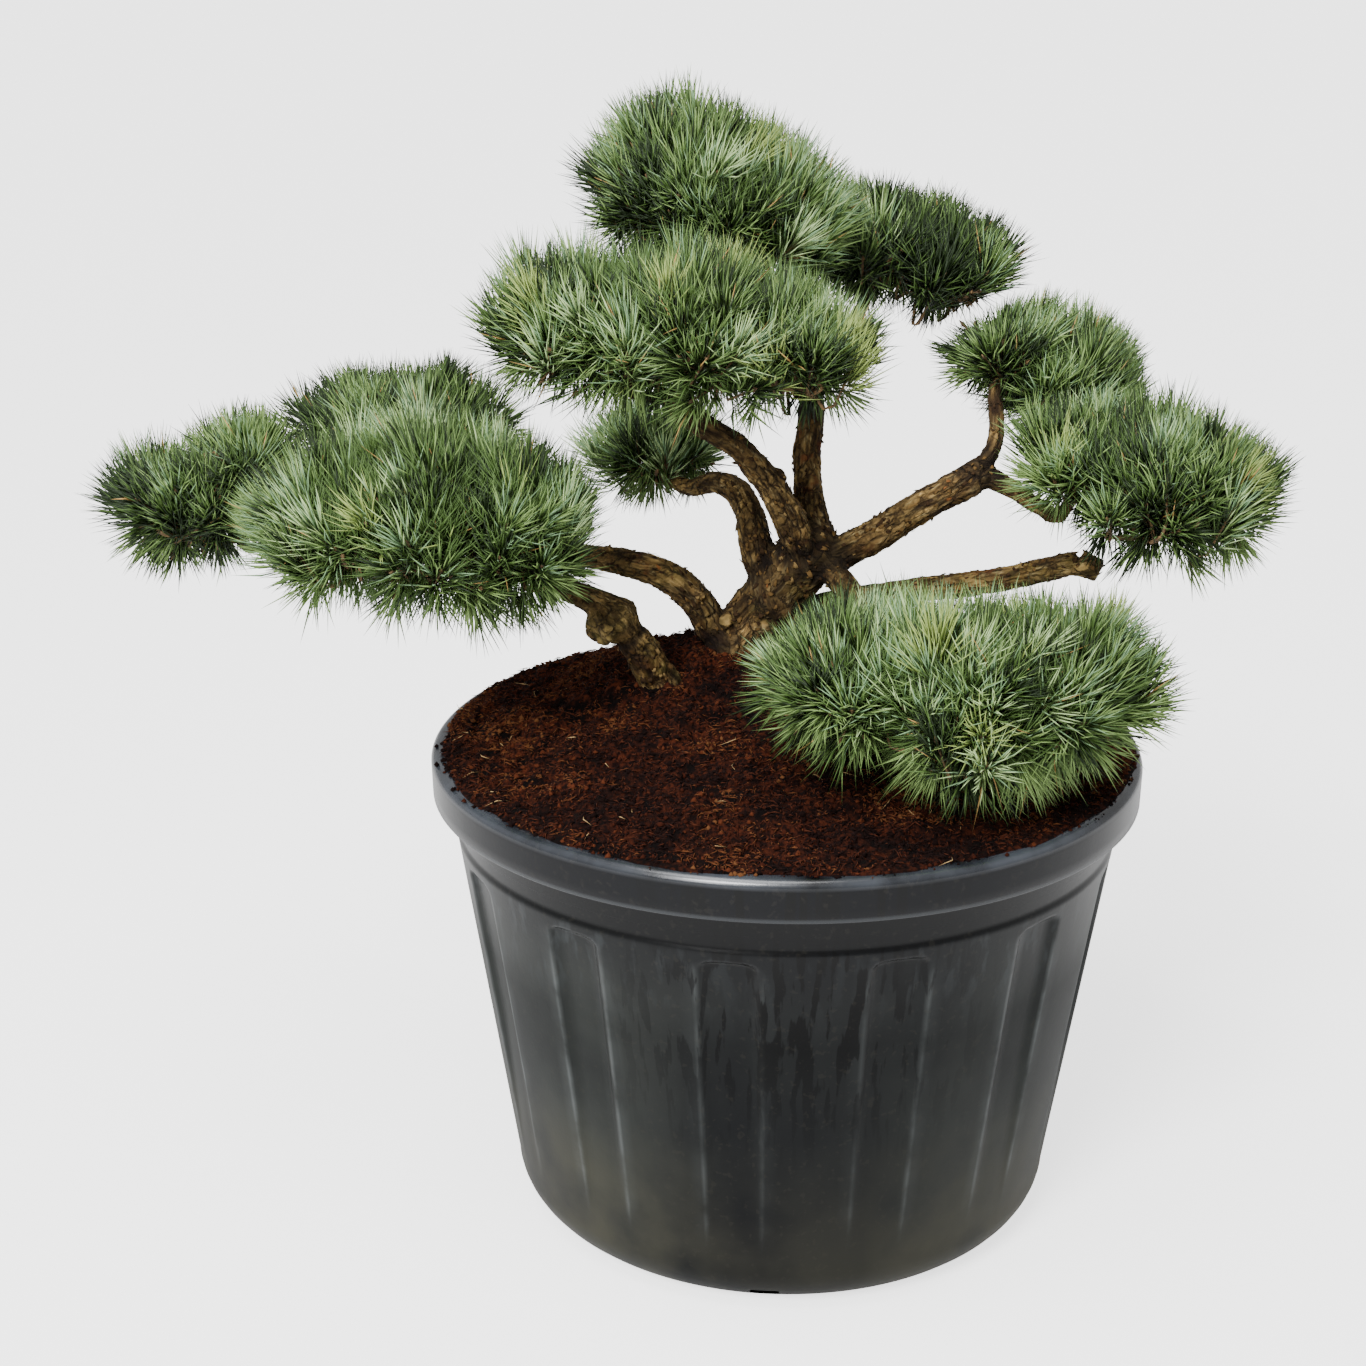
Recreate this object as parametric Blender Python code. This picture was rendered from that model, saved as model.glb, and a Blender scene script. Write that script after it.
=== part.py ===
"""A creeping Scots pine trained as a cloud-pruned bonsai, standing in its round nursery pot.

Metres, +Z up. The origin is the centre of the pot's flat underside, and the tree's front faces -Y.
The pot is 0.70 m across its rim, a common 130 litre container. The trunk stands on a flat seat in
the heaped soil. Boughs start 0.3 mm clear of the limb that bears them and end where they enter a
mass of foliage. Each mass is a clipped dome: a core, with blades of needles standing out of it.
"""
import math
import random

import bmesh
import bpy
from mathutils import Matrix, Vector
from mathutils.bvhtree import BVHTree

# Clearance between pieces that meet
GAP = 0.0003
WELD_DISTANCE = 0.000001
SHORTEST_EDGE = 0.000002
CUT_CLEARANCE = 0.0004

# Pot
POT_HEIGHT = 0.483
RIM_RADIUS = 0.350
RIM_THICKNESS = 0.006
SKIRT_HEIGHT = 0.040
SKIRT_THICKNESS = 0.004
WALL_THICKNESS = 0.005
FLOOR_THICKNESS = 0.007
WALL_TOP_RADIUS = 0.339
WALL_FOOT_RADIUS = 0.265
FOOT_ROUNDING = 0.050
FOOT_STEPS = 3
NECK_HEIGHT = 0.080
NECK_STEP = 0.003
FLUTES = 13
COLUMNS_PER_FLUTE = 4
FLUTE_WIDTH_ANGLE = math.radians(9.0)
FLUTE_DEPTH = 0.0026
FLUTE_PHASE = math.radians(-8.5)
FLUTE_TOP = 0.392
FLUTE_FADE = 0.075
FLUTE_SHOULDER = 0.008
FLUTE_FOOT_SHARE = 0.6
FLUTE_TOP_SHARE = 0.72
FLUTE_FLARE = 0.004
CUTTER_REACH = 0.02
RIM_EDGE = 0.003
FLOOR_ROUNDING = 0.032
DRAIN_SLOTS = 6
DRAIN_PHASE = math.radians(-2.7)
DRAIN_WIDTH = 0.028
DRAIN_HEIGHT = 0.012
DRAIN_FOOT = 0.008
DRAIN_DEPTH = 0.080

# Soil, heaped towards the trunk
SOIL_EDGE_HEIGHT = 0.479
SOIL_SHOULDER = 0.013
SOIL_MOUND = 0.064
SOIL_MOUND_CENTRE = (-0.060, 0.060)
SOIL_MOUND_SPREAD = 0.165
SOIL_FALL = 7
SOIL_RINGS = (0.30, 0.56, 0.78, 0.93)
SOIL_CORNER_GAP = 0.002
TRUNK_SEAT_RADIUS = 0.058
BOUGH_SEAT_RADIUS = 0.026
SEAT_SIDES = 16

# Limbs: way points along the centre line, then the radius at each end
TRUNK_SIDES = 14
BOUGH_SIDES = 8
RING_SPACING = 0.030
GROUND_LEVEL = 0.546
TRUNK_FOOT_RADIUS = 0.0315
TRUNK_FORK_RADIUS = 0.0295
TRUNK_FORK_SHARE = 0.28
LEADER_RADIUS = 0.0170
LEADER_SHARE = 0.44
LEADER_TIP_TAPER = 0.0080
FORK_REACH = 0.025
ROOT_FLARE = 0.007
ROOT_FLARE_REACH = 0.022
FORK_SWELL = 0.005
CALLUS_RADIUS = 0.0115
CALLUS_REACH = 0.017

TRUNK = ((-0.049, 0.077, GROUND_LEVEL), (-0.039, 0.077, 0.572), (-0.019, 0.072, 0.602),
         (0.005, 0.066, 0.634), (0.020, 0.066, 0.662), (0.019, 0.078, 0.692), (0.018, 0.097, 0.724),
         (0.018, 0.112, 0.756), (0.021, 0.130, 0.792), (0.008, 0.148, 0.842), (-0.026, 0.148, 0.892),
         (-0.047, 0.137, 0.923))

BOUGHS = {
    "bough_low_left": {
        "way": ((-0.119, 0.004, 0.531), (-0.132, -0.008, 0.559), (-0.145, -0.018, 0.586),
                (-0.166, -0.029, 0.615), (-0.188, -0.036, 0.636), (-0.212, -0.050, 0.652)),
        "radii": (0.0205, 0.0110), "cut_by": ()},
    "bough_arched_left": {
        "way": ((-0.045, 0.080, 0.562), (-0.072, 0.072, 0.572), (-0.084, 0.068, 0.594),
                (-0.099, 0.066, 0.615), (-0.122, 0.066, 0.632), (-0.153, 0.070, 0.641),
                (-0.195, 0.082, 0.645), (-0.250, 0.092, 0.649), (-0.311, 0.097, 0.652)),
        "radii": (0.0180, 0.0100), "cut_by": ("trunk",)},
    "bough_far_left": {
        "way": ((-0.309, 0.097, 0.652), (-0.350, 0.095, 0.648), (-0.410, 0.088, 0.645),
                (-0.472, 0.078, 0.645), (-0.530, 0.066, 0.656)),
        "radii": (0.0092, 0.0060), "cut_by": ("bough_arched_left",)},
    "bough_back_left": {
        "way": ((-0.291, 0.096, 0.652), (-0.308, 0.112, 0.672), (-0.328, 0.134, 0.700),
                (-0.341, 0.146, 0.716)),
        "radii": (0.0086, 0.0066), "cut_by": ("bough_arched_left", "bough_far_left")},
    "bough_rear": {
        "way": ((-0.012, 0.068, 0.612), (-0.029, 0.082, 0.652), (-0.038, 0.098, 0.684),
                (-0.050, 0.114, 0.705), (-0.070, 0.132, 0.711), (-0.092, 0.154, 0.702)),
        "radii": (0.0205, 0.0095), "cut_by": ("trunk",)},
    "bough_middle": {
        "way": ((0.018, 0.060, 0.652), (0.010, 0.044, 0.674), (-0.001, 0.030, 0.706),
                (-0.017, 0.020, 0.737), (-0.036, 0.010, 0.763), (-0.053, 0.000, 0.783),
                (-0.074, -0.010, 0.797), (-0.094, -0.018, 0.812)),
        "radii": (0.0185, 0.0110), "cut_by": ("trunk",)},
    "bough_top_right": {
        "way": ((0.020, 0.128, 0.790), (0.032, 0.148, 0.816), (0.048, 0.176, 0.844),
                (0.068, 0.205, 0.872)),
        "radii": (0.0088, 0.0070), "cut_by": ("trunk",)},
    "bough_right": {
        "way": ((0.014, 0.064, 0.646), (0.046, 0.060, 0.656), (0.081, 0.055, 0.676),
                (0.109, 0.050, 0.696), (0.138, 0.050, 0.714), (0.167, 0.050, 0.732),
                (0.190, 0.050, 0.747)),
        "radii": (0.0175, 0.0155), "cut_by": ("trunk", "bough_middle")},
    "bough_right_upper": {
        "way": ((0.184, 0.052, 0.744), (0.199, 0.064, 0.767), (0.203, 0.080, 0.786),
                (0.202, 0.091, 0.799)),
        "radii": (0.0092, 0.0075), "cut_by": ("bough_right",)},
    "bough_right_outer": {
        "way": ((0.182, 0.051, 0.746), (0.214, 0.045, 0.732), (0.236, 0.040, 0.718),
                (0.247, 0.037, 0.713)),
        "radii": (0.0105, 0.0088), "cut_by": ("bough_right", "bough_right_upper")},
    "bough_low_right": {
        "way": ((-0.022, 0.072, 0.590), (0.015, 0.078, 0.594), (0.046, 0.082, 0.601),
                (0.088, 0.084, 0.607), (0.133, 0.080, 0.616), (0.172, 0.075, 0.623),
                (0.211, 0.070, 0.631), (0.250, 0.060, 0.643), (0.284, 0.050, 0.655)),
        "radii": (0.0135, 0.0118), "cut_by": ("trunk",)},
    "bough_front": {
        "way": ((0.018, 0.062, 0.646), (0.044, 0.046, 0.643), (0.058, 0.024, 0.632),
                (0.074, -0.008, 0.622), (0.090, -0.052, 0.616), (0.104, -0.094, 0.618)),
        "radii": (0.0145, 0.0105), "cut_by": ("trunk", "bough_right", "bough_middle")},
}

# Foliage masses: lobes (centre, half sizes), the tip of the limb that bears the mass, blades
CORE_SHARE = 0.66
UNDERSIDE_SHARE = 0.95
LOBE_COLUMNS = 10
LOBE_ROWS = 6
BLADE_TEETH = 4
BLADE_SPREAD = 0.90
BLADE_THICKNESS = 0.0018
BLADE_FOOT = 0.25
BLADE_ARCH = 0.16
VALLEY_REACH = 0.70
VALLEY_WIDTH = 0.80
SPRAY_ROOT_SHARE = 0.38
SPRAY_ROOT_DROP = 0.075
SPRAYS_TRIED = 1.25
SPRAY_LOWEST = -0.85
SPRAY_JITTER = 0.2
SPRAY_SHRINKS = (1.0, 0.9, 0.8)
SPRAY_SHOULDER = 0.86
SPRAY_OUTERMOST = 1.1
STEM_LENGTH = 0.02
STEM_SINK = 0.55
TWIG_RADIUS = 0.0035
TWIG_SPREAD = 0.72
TWIG_DROP = 0.43
TWIG_SIDES = 3
TWIGS_PER_MASS = 5
OWN_SPACE_EDGE = 1.02
OWN_SPACE_MARGIN = 0.05
LIMB_CLEARANCE = 0.004
SOIL_CLEARANCE = 0.006
SEED = 130
TRIES = 40

MASSES = {
    "foliage_top": {
        "bearer": "trunk", "blades": 21,
        "lobes": (((-0.122, 0.100, 1.017), (0.094, 0.100, 0.096)),
                  ((-0.070, 0.102, 1.002), (0.082, 0.096, 0.088)),
                  ((-0.022, 0.110, 0.979), (0.096, 0.100, 0.082)))},
    "foliage_top_right": {
        "bearer": "bough_top_right", "blades": 15,
        "lobes": (((0.088, 0.235, 0.940), (0.102, 0.112, 0.068)),
                  ((0.162, 0.235, 0.910), (0.090, 0.110, 0.064)))},
    "foliage_middle": {
        "bearer": "bough_middle", "blades": 24,
        "lobes": (((-0.198, -0.030, 0.898), (0.116, 0.100, 0.092)),
                  ((-0.096, -0.040, 0.902), (0.118, 0.116, 0.098)),
                  ((0.008, -0.035, 0.876), (0.096, 0.094, 0.070)))},
    "foliage_rear": {
        "bearer": "bough_rear", "blades": 12,
        "lobes": (((-0.142, 0.235, 0.720), (0.102, 0.104, 0.064)),)},
    "foliage_right_upper": {
        "bearer": "bough_right_upper", "blades": 14,
        "lobes": (((0.214, 0.165, 0.849), (0.075, 0.098, 0.057)),
                  ((0.282, 0.172, 0.806), (0.090, 0.106, 0.084)))},
    "foliage_right": {
        "bearer": "bough_right_outer", "blades": 16,
        "lobes": (((0.280, 0.030, 0.768), (0.086, 0.080, 0.062)),
                  ((0.364, 0.010, 0.738), (0.132, 0.126, 0.101)))},
    "foliage_front": {
        "bearer": "bough_front", "blades": 23,
        "lobes": (((0.056, -0.185, 0.612), (0.110, 0.104, 0.073)),
                  ((0.160, -0.205, 0.603), (0.118, 0.120, 0.115)),
                  ((0.253, -0.190, 0.612), (0.102, 0.106, 0.092)))},
    "foliage_left": {
        "bearer": "bough_low_left", "blades": 24,
        "lobes": (((-0.408, -0.105, 0.728), (0.112, 0.106, 0.102)),
                  ((-0.322, -0.105, 0.730), (0.114, 0.120, 0.122)),
                  ((-0.243, -0.100, 0.720), (0.085, 0.094, 0.098)))},
    "foliage_far_left": {
        "bearer": "bough_far_left", "blades": 14,
        "lobes": (((-0.590, 0.050, 0.706), (0.108, 0.104, 0.079)),
                  ((-0.532, 0.056, 0.742), (0.064, 0.072, 0.062)))},
    "foliage_back_left": {
        "bearer": "bough_back_left", "blades": 14,
        "lobes": (((-0.394, 0.160, 0.760), (0.152, 0.114, 0.072)),)},
}


def clear_scene():
    """Start from nothing."""
    for old in list(bpy.data.objects):
        bpy.data.objects.remove(old, do_unlink=True)


def make_material(name, colour, roughness, metallic=0.0):
    """A plain principled material in linear colour."""
    material = bpy.data.materials.new(name)
    material.use_nodes = True
    shader = material.node_tree.nodes["Principled BSDF"]
    shader.inputs["Base Color"].default_value = (*colour, 1.0)
    shader.inputs["Roughness"].default_value = roughness
    shader.inputs["Metallic"].default_value = metallic
    return material


def place_mesh(name, mesh, material):
    """Put a mesh in the scene as one named object."""
    thing = bpy.data.objects.new(name, mesh)
    bpy.context.scene.collection.objects.link(thing)
    mesh.materials.clear()
    mesh.materials.append(material)
    return thing


def finish_bmesh(name, bm, material):
    """Turn the faces outwards, store the bmesh and link its object."""
    bmesh.ops.recalc_face_normals(bm, faces=bm.faces)
    mesh = bpy.data.meshes.new(name)
    bm.to_mesh(mesh)
    bm.free()
    return place_mesh(name, mesh, material)


def shade_round(thing, degrees=40.0):
    """Smooth shading with the real edges kept sharp."""
    thing.data.shade_smooth()
    thing.data.set_sharp_from_angle(angle=math.radians(degrees))


def bake(thing):
    """Replace an object's mesh by its evaluated one and clear its modifiers."""
    graph = bpy.context.evaluated_depsgraph_get()
    graph.update()
    mesh = bpy.data.meshes.new_from_object(thing.evaluated_get(graph), depsgraph=graph)
    thing.modifiers.clear()
    thing.data = mesh


def keep_largest_piece(thing):
    """Drop the loose scraps that a cut leaves."""
    bm = bmesh.new()
    bm.from_mesh(thing.data)
    unseen = set(bm.verts)
    pieces = []
    while unseen:
        stack = [unseen.pop()]
        piece = list(stack)
        while stack:
            for edge in stack.pop().link_edges:
                for vert in edge.verts:
                    if vert in unseen:
                        unseen.remove(vert)
                        stack.append(vert)
                        piece.append(vert)
        pieces.append(piece)
    pieces.sort(key=len)
    for piece in pieces[:-1]:
        bmesh.ops.delete(bm, geom=piece, context="VERTS")
    bm.to_mesh(thing.data)
    bm.free()


def merge_flat_faces(thing):
    """Weld stray points and join the coplanar triangles that a union leaves."""
    bm = bmesh.new()
    bm.from_mesh(thing.data)
    bmesh.ops.remove_doubles(bm, verts=bm.verts, dist=WELD_DISTANCE)
    bmesh.ops.dissolve_limit(bm, angle_limit=math.radians(0.5), verts=bm.verts, edges=bm.edges)
    bmesh.ops.triangulate(bm, faces=bm.faces)
    bm.to_mesh(thing.data)
    bm.free()


def is_sound(thing):
    """Whether a mesh is one closed body with no pinched or needle-thin edge."""
    bm = bmesh.new()
    bm.from_mesh(thing.data)
    sound = all(edge.is_manifold and edge.calc_length() > SHORTEST_EDGE for edge in bm.edges)
    sound = sound and all(vert.is_manifold for vert in bm.verts)
    bm.free()
    return sound


def surface_tree(thing):
    """The faces of an object, ready to be tested against those of another."""
    bm = bmesh.new()
    bm.from_mesh(thing.data)
    tree = BVHTree.FromBMesh(bm)
    bm.free()
    return tree


def remove_objects(things):
    """Delete helper objects once their work is applied."""
    for thing in things:
        bpy.data.objects.remove(thing, do_unlink=True)


def boolean(thing, other, operation):
    """One exact cut or union with another object, applied."""
    modifier = thing.modifiers.new(operation.lower(), "BOOLEAN")
    modifier.operation = operation
    modifier.solver = "EXACT"
    modifier.object = other
    bake(thing)


def join_as_one(thing, parts):
    """One union of an object with a collection of overlapping parts, applied."""
    group = bpy.data.collections.new("parts")
    bpy.context.scene.collection.children.link(group)
    for part in parts:
        bpy.context.scene.collection.objects.unlink(part)
        group.objects.link(part)
    modifier = thing.modifiers.new("union", "BOOLEAN")
    modifier.operation = "UNION"
    modifier.operand_type = "COLLECTION"
    modifier.collection = group
    modifier.solver = "MANIFOLD"
    bake(thing)
    remove_objects(parts)
    bpy.data.collections.remove(group)


# Pot and soil

def wall_radius(height):
    """Outer radius of the tapering wall, before the neck's step."""
    return WALL_FOOT_RADIUS + (WALL_TOP_RADIUS - WALL_FOOT_RADIUS) * height / POT_HEIGHT


def pot_profile():
    """Closed half section of the pot, from the underside's centre round to the floor's centre."""
    neck_foot = POT_HEIGHT - NECK_HEIGHT
    skirt_foot = POT_HEIGHT - SKIRT_HEIGHT
    under_rim = POT_HEIGHT - RIM_THICKNESS
    skirt_inner = RIM_RADIUS - SKIRT_THICKNESS
    inner = NECK_STEP + WALL_THICKNESS
    edge = RIM_EDGE
    foot = wall_radius(FOOT_ROUNDING)
    outline = [(0.0, 0.0)]
    for step in range(FOOT_STEPS + 1):
        angle = math.radians(90.0 * step / FOOT_STEPS)
        outline.append((foot - FOOT_ROUNDING * (1.0 - math.sin(angle)),
                        FOOT_ROUNDING * (1.0 - math.cos(angle))))
    outline += [
        (wall_radius(neck_foot) - 0.0006, neck_foot - 0.004),
        (wall_radius(neck_foot) - NECK_STEP, neck_foot),
        (wall_radius(under_rim) - NECK_STEP, under_rim),
        (skirt_inner, under_rim),
        (skirt_inner - 0.001, skirt_foot),
        (RIM_RADIUS - 0.001, skirt_foot),
        (RIM_RADIUS, POT_HEIGHT - 2 * edge),
        (RIM_RADIUS - edge, POT_HEIGHT - edge / 3),
        (RIM_RADIUS - 2.5 * edge, POT_HEIGHT),
        (wall_radius(POT_HEIGHT) - inner + edge, POT_HEIGHT),
        (wall_radius(POT_HEIGHT) - inner, POT_HEIGHT - edge),
        (wall_radius(FOOT_ROUNDING) - inner, FOOT_ROUNDING),
        (wall_radius(FOOT_ROUNDING) - inner - FLOOR_ROUNDING, FLOOR_THICKNESS),
        (0.0, FLOOR_THICKNESS),
    ]
    return outline


def spin_outline(outline, columns):
    """Turn a half section about +Z into a closed bmesh."""
    bm = bmesh.new()
    verts = [bm.verts.new((radius, 0.0, height)) for radius, height in outline]
    edges = [bm.edges.new(pair) for pair in zip(verts, verts[1:])]
    bmesh.ops.spin(bm, geom=verts + edges, cent=(0.0, 0.0, 0.0), axis=(0.0, 0.0, 1.0),
                   angle=2.0 * math.pi, steps=columns, use_merge=True)
    bmesh.ops.remove_doubles(bm, verts=bm.verts, dist=WELD_DISTANCE)
    return bm


def turn_to_front(angle):
    """Rotation that carries +X to the direction at an angle from the front, towards +X."""
    return Matrix.Rotation(angle - math.pi / 2, 4, "Z")


def flute_cutter(index, material):
    """A slim wedge that sinks one flute into the wall, fading out towards the foot."""
    rows = ((FLUTE_FADE, -GAP, FLUTE_FOOT_SHARE),
            (FLUTE_TOP - FLUTE_SHOULDER, FLUTE_DEPTH, 1.0),
            (FLUTE_TOP, FLUTE_DEPTH, FLUTE_TOP_SHARE))
    bm = bmesh.new()
    rings = []
    for height, depth, share in rows:
        inner = wall_radius(height) - depth
        outer = wall_radius(height) + CUTTER_REACH
        half = inner * math.tan(FLUTE_WIDTH_ANGLE * share / 2)
        wide = half + FLUTE_FLARE
        corners = ((inner, -half), (outer, -wide), (outer, wide), (inner, half))
        rings.append([bm.verts.new((x, y, height)) for x, y in corners])
    bm.faces.new(rings[0])
    bm.faces.new(rings[-1])
    for lower, upper in zip(rings, rings[1:]):
        for k in range(4):
            bm.faces.new((lower[k], lower[(k + 1) % 4], upper[(k + 1) % 4], upper[k]))
    turn = turn_to_front(FLUTE_PHASE + index * 2 * math.pi / FLUTES)
    bmesh.ops.transform(bm, matrix=turn, verts=bm.verts)
    return finish_bmesh("flute_cutter", bm, material)


def drain_cutter(index, material):
    """A block that opens one drainage slot through the rounded foot."""
    bm = bmesh.new()
    bmesh.ops.create_cube(bm, size=1.0)
    bmesh.ops.scale(bm, vec=(DRAIN_DEPTH, DRAIN_WIDTH, DRAIN_HEIGHT), verts=bm.verts)
    middle = (wall_radius(0.0), 0.0, DRAIN_FOOT + DRAIN_HEIGHT / 2)
    bmesh.ops.translate(bm, vec=middle, verts=bm.verts)
    turn = turn_to_front(DRAIN_PHASE + index * 2 * math.pi / DRAIN_SLOTS)
    bmesh.ops.transform(bm, matrix=turn, verts=bm.verts)
    return finish_bmesh("drain_cutter", bm, material)


def build_pot():
    """The turned pot with its flutes and drainage slots."""
    material = make_material("black_polyethylene", (0.012, 0.014, 0.018), 0.42)
    columns = FLUTES * COLUMNS_PER_FLUTE
    pot = finish_bmesh("pot", spin_outline(pot_profile(), columns), material)
    cutters = [flute_cutter(index, material) for index in range(FLUTES)]
    cutters += [drain_cutter(index, material) for index in range(DRAIN_SLOTS)]
    for cutter in cutters:
        modifier = pot.modifiers.new("cut", "BOOLEAN")
        modifier.operation = "DIFFERENCE"
        modifier.solver = "EXACT"
        modifier.object = cutter
    bake(pot)
    remove_objects(cutters)
    shade_round(pot, 25.0)
    return pot


def soil_height(x, y):
    """Height of the heaped soil above the underside of the pot."""
    away = math.hypot(x - SOIL_MOUND_CENTRE[0], y - SOIL_MOUND_CENTRE[1])
    heap = SOIL_MOUND * math.exp(-(away / SOIL_MOUND_SPREAD) ** 2)
    rim = min(1.0, math.hypot(x, y) / (WALL_TOP_RADIUS - WALL_THICKNESS - NECK_STEP))
    return SOIL_EDGE_HEIGHT + (SOIL_SHOULDER + heap) * (1.0 - rim ** SOIL_FALL)


def build_soil():
    """The filling of the pot, with a flat seat under each limb that comes out of it."""
    material = make_material("moist_peat", (0.055, 0.020, 0.010), 0.95)
    inner = NECK_STEP + WALL_THICKNESS + GAP
    floor = FLOOR_THICKNESS + GAP
    corner = wall_radius(FOOT_ROUNDING) - inner
    top = wall_radius(SOIL_EDGE_HEIGHT) - inner
    outline = [(0.0, floor), (corner - FLOOR_ROUNDING - SOIL_CORNER_GAP, floor),
               (corner - GAP, FOOT_ROUNDING + SOIL_CORNER_GAP), (top, SOIL_EDGE_HEIGHT)]
    outline += [(top * share, SOIL_EDGE_HEIGHT) for share in reversed(SOIL_RINGS)]
    outline.append((0.0, SOIL_EDGE_HEIGHT))
    bm = spin_outline(outline, FLUTES * COLUMNS_PER_FLUTE)
    for vert in bm.verts:
        if vert.co.z > SOIL_EDGE_HEIGHT - WELD_DISTANCE:
            vert.co.z = soil_height(vert.co.x, vert.co.y)
    soil = finish_bmesh("soil", bm, material)
    seats = ((TRUNK[0], TRUNK_SEAT_RADIUS), (BOUGHS["bough_low_left"]["way"][0], BOUGH_SEAT_RADIUS))
    for foot, radius in seats:
        bm = bmesh.new()
        bmesh.ops.create_cone(bm, cap_ends=True, segments=SEAT_SIDES, radius1=radius,
                              radius2=radius, depth=SOIL_MOUND)
        rise = Vector((0.0, 0.0, SOIL_MOUND / 2 - GAP))
        bmesh.ops.translate(bm, vec=Vector(foot) + rise, verts=bm.verts)
        seat = finish_bmesh("seat_cutter", bm, material)
        boolean(soil, seat, "DIFFERENCE")
        remove_objects([seat])
    shade_round(soil, 35.0)
    return soil


# Limbs

def centre_line(way, spacing=RING_SPACING):
    """Points of a smooth Catmull-Rom curve through the way points."""
    points = [Vector(point) for point in way]
    padded = [2 * points[0] - points[1], *points, 2 * points[-1] - points[-2]]
    line = []
    for k in range(1, len(padded) - 2):
        a, b, c, d = padded[k - 1:k + 3]
        steps = max(1, round((c - b).length / spacing))
        for step in range(steps):
            t = step / steps
            line.append(0.5 * ((2 * b) + (c - a) * t + (2 * a - 5 * b + 4 * c - d) * t * t
                               + (3 * b - a - 3 * c + d) * t ** 3))
    line.append(points[-1])
    return line


def lengths_along(line):
    """Distance from the first point to each point of a line."""
    lengths = [0.0]
    for a, b in zip(line, line[1:]):
        lengths.append(lengths[-1] + (b - a).length)
    return lengths


def between(start, end, share):
    """A value part of the way from start to end."""
    return start + (end - start) * min(1.0, share)


def limb_radii(name, line):
    """Radius at each point: an even taper, with the trunk's flare and fork or the bough's callus."""
    lengths = lengths_along(line)
    whole = lengths[-1]
    if name == "trunk":
        fork = Vector(TRUNK[4])
        radii = []
        for point, along in zip(line, lengths):
            share = along / whole
            past = max(0.0, share - TRUNK_FORK_SHARE)
            radius = between(TRUNK_FOOT_RADIUS, TRUNK_FORK_RADIUS, share / TRUNK_FORK_SHARE)
            radius += between(0.0, LEADER_RADIUS - TRUNK_FORK_RADIUS,
                              past / (LEADER_SHARE - TRUNK_FORK_SHARE))
            radius -= LEADER_TIP_TAPER * past / (1.0 - TRUNK_FORK_SHARE)
            radius += ROOT_FLARE * math.exp(-along / ROOT_FLARE_REACH)
            radius += FORK_SWELL * math.exp(-((point - fork).length / FORK_REACH) ** 2)
            radii.append(radius)
        return radii
    first, last = BOUGHS[name]["radii"]
    radii = [first + (last - first) * along / whole for along in lengths]
    if name == "bough_low_left":
        knob = Vector(BOUGHS[name]["way"][3])
        radii = [radius + CALLUS_RADIUS * math.exp(-((point - knob).length / CALLUS_REACH) ** 2)
                 for radius, point in zip(radii, line)]
    return radii


def tube(name, line, radii, sides, material, grow=0.0, flat_start=False):
    """A closed tapering tube round a line, with rings turned along it by parallel transport."""
    bm = bmesh.new()
    rings = []
    across = Vector((1.0, 0.0, 0.0))
    for k, point in enumerate(line):
        forward = (line[min(k + 1, len(line) - 1)] - line[max(k - 1, 0)]).normalized()
        if flat_start and k == 0:
            forward = Vector((0.0, 0.0, 1.0))
        across = (across - forward * across.dot(forward)).normalized()
        side = forward.cross(across)
        ring = []
        for step in range(sides):
            angle = 2 * math.pi * step / sides
            offset = across * math.cos(angle) + side * math.sin(angle)
            ring.append(bm.verts.new(point + offset * (radii[k] + grow)))
        rings.append(ring)
    bm.faces.new(rings[0])
    bm.faces.new(rings[-1])
    for lower, upper in zip(rings, rings[1:]):
        for k in range(sides):
            bm.faces.new((lower[k], lower[(k + 1) % sides], upper[(k + 1) % sides], upper[k]))
    bmesh.ops.triangulate(bm, faces=bm.faces)
    return finish_bmesh(name, bm, material)


def build_limbs():
    """The trunk and every bough, each cut clear of the limbs that bear or pass it."""
    bark = make_material("pine_bark", (0.110, 0.072, 0.042), 0.85)
    lines = {"trunk": centre_line(TRUNK)}
    for name, bough in BOUGHS.items():
        lines[name] = centre_line(bough["way"])
    radii = {name: limb_radii(name, line) for name, line in lines.items()}
    sides = {name: TRUNK_SIDES if name == "trunk" else BOUGH_SIDES for name in lines}
    limbs = {}
    for name, line in lines.items():
        on_soil = name in ("trunk", "bough_low_left")
        limb = tube(name, line, radii[name], sides[name], bark, flat_start=on_soil)
        if name != "trunk":
            for other in BOUGHS[name]["cut_by"]:
                cutter = tube("limb_cutter", lines[other], radii[other], sides[other], bark,
                              grow=CUT_CLEARANCE)
                boolean(limb, cutter, "DIFFERENCE")
                remove_objects([cutter])
                keep_largest_piece(limb)
        shade_round(limb, 50.0)
        limbs[name] = limb
    return lines, radii


# Foliage

def share_of_lobe(point, lobe):
    """0 at the lobe's centre, 1 on its surface; the underside is flatter."""
    centre, half = lobe
    low = UNDERSIDE_SHARE if point[2] < centre[2] else 1.0
    return math.sqrt(((point[0] - centre[0]) / half[0]) ** 2 + ((point[1] - centre[1]) / half[1]) ** 2
                     + ((point[2] - centre[2]) / (half[2] * low)) ** 2)


def share_of_mass(point, name):
    """The least share over a mass's lobes."""
    return min(share_of_lobe(point, lobe) for lobe in MASSES[name]["lobes"])


def distance_to_limb(point, line, radii):
    """Distance from a point to a limb's bark."""
    nearest = 1.0
    for k in range(len(line) - 1):
        a = line[k]
        along = line[k + 1] - a
        t = max(0.0, min(1.0, (point - a).dot(along) / along.length_squared))
        radius = radii[k] + (radii[k + 1] - radii[k]) * t
        nearest = min(nearest, (point - a - along * t).length - radius)
    return nearest


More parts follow.
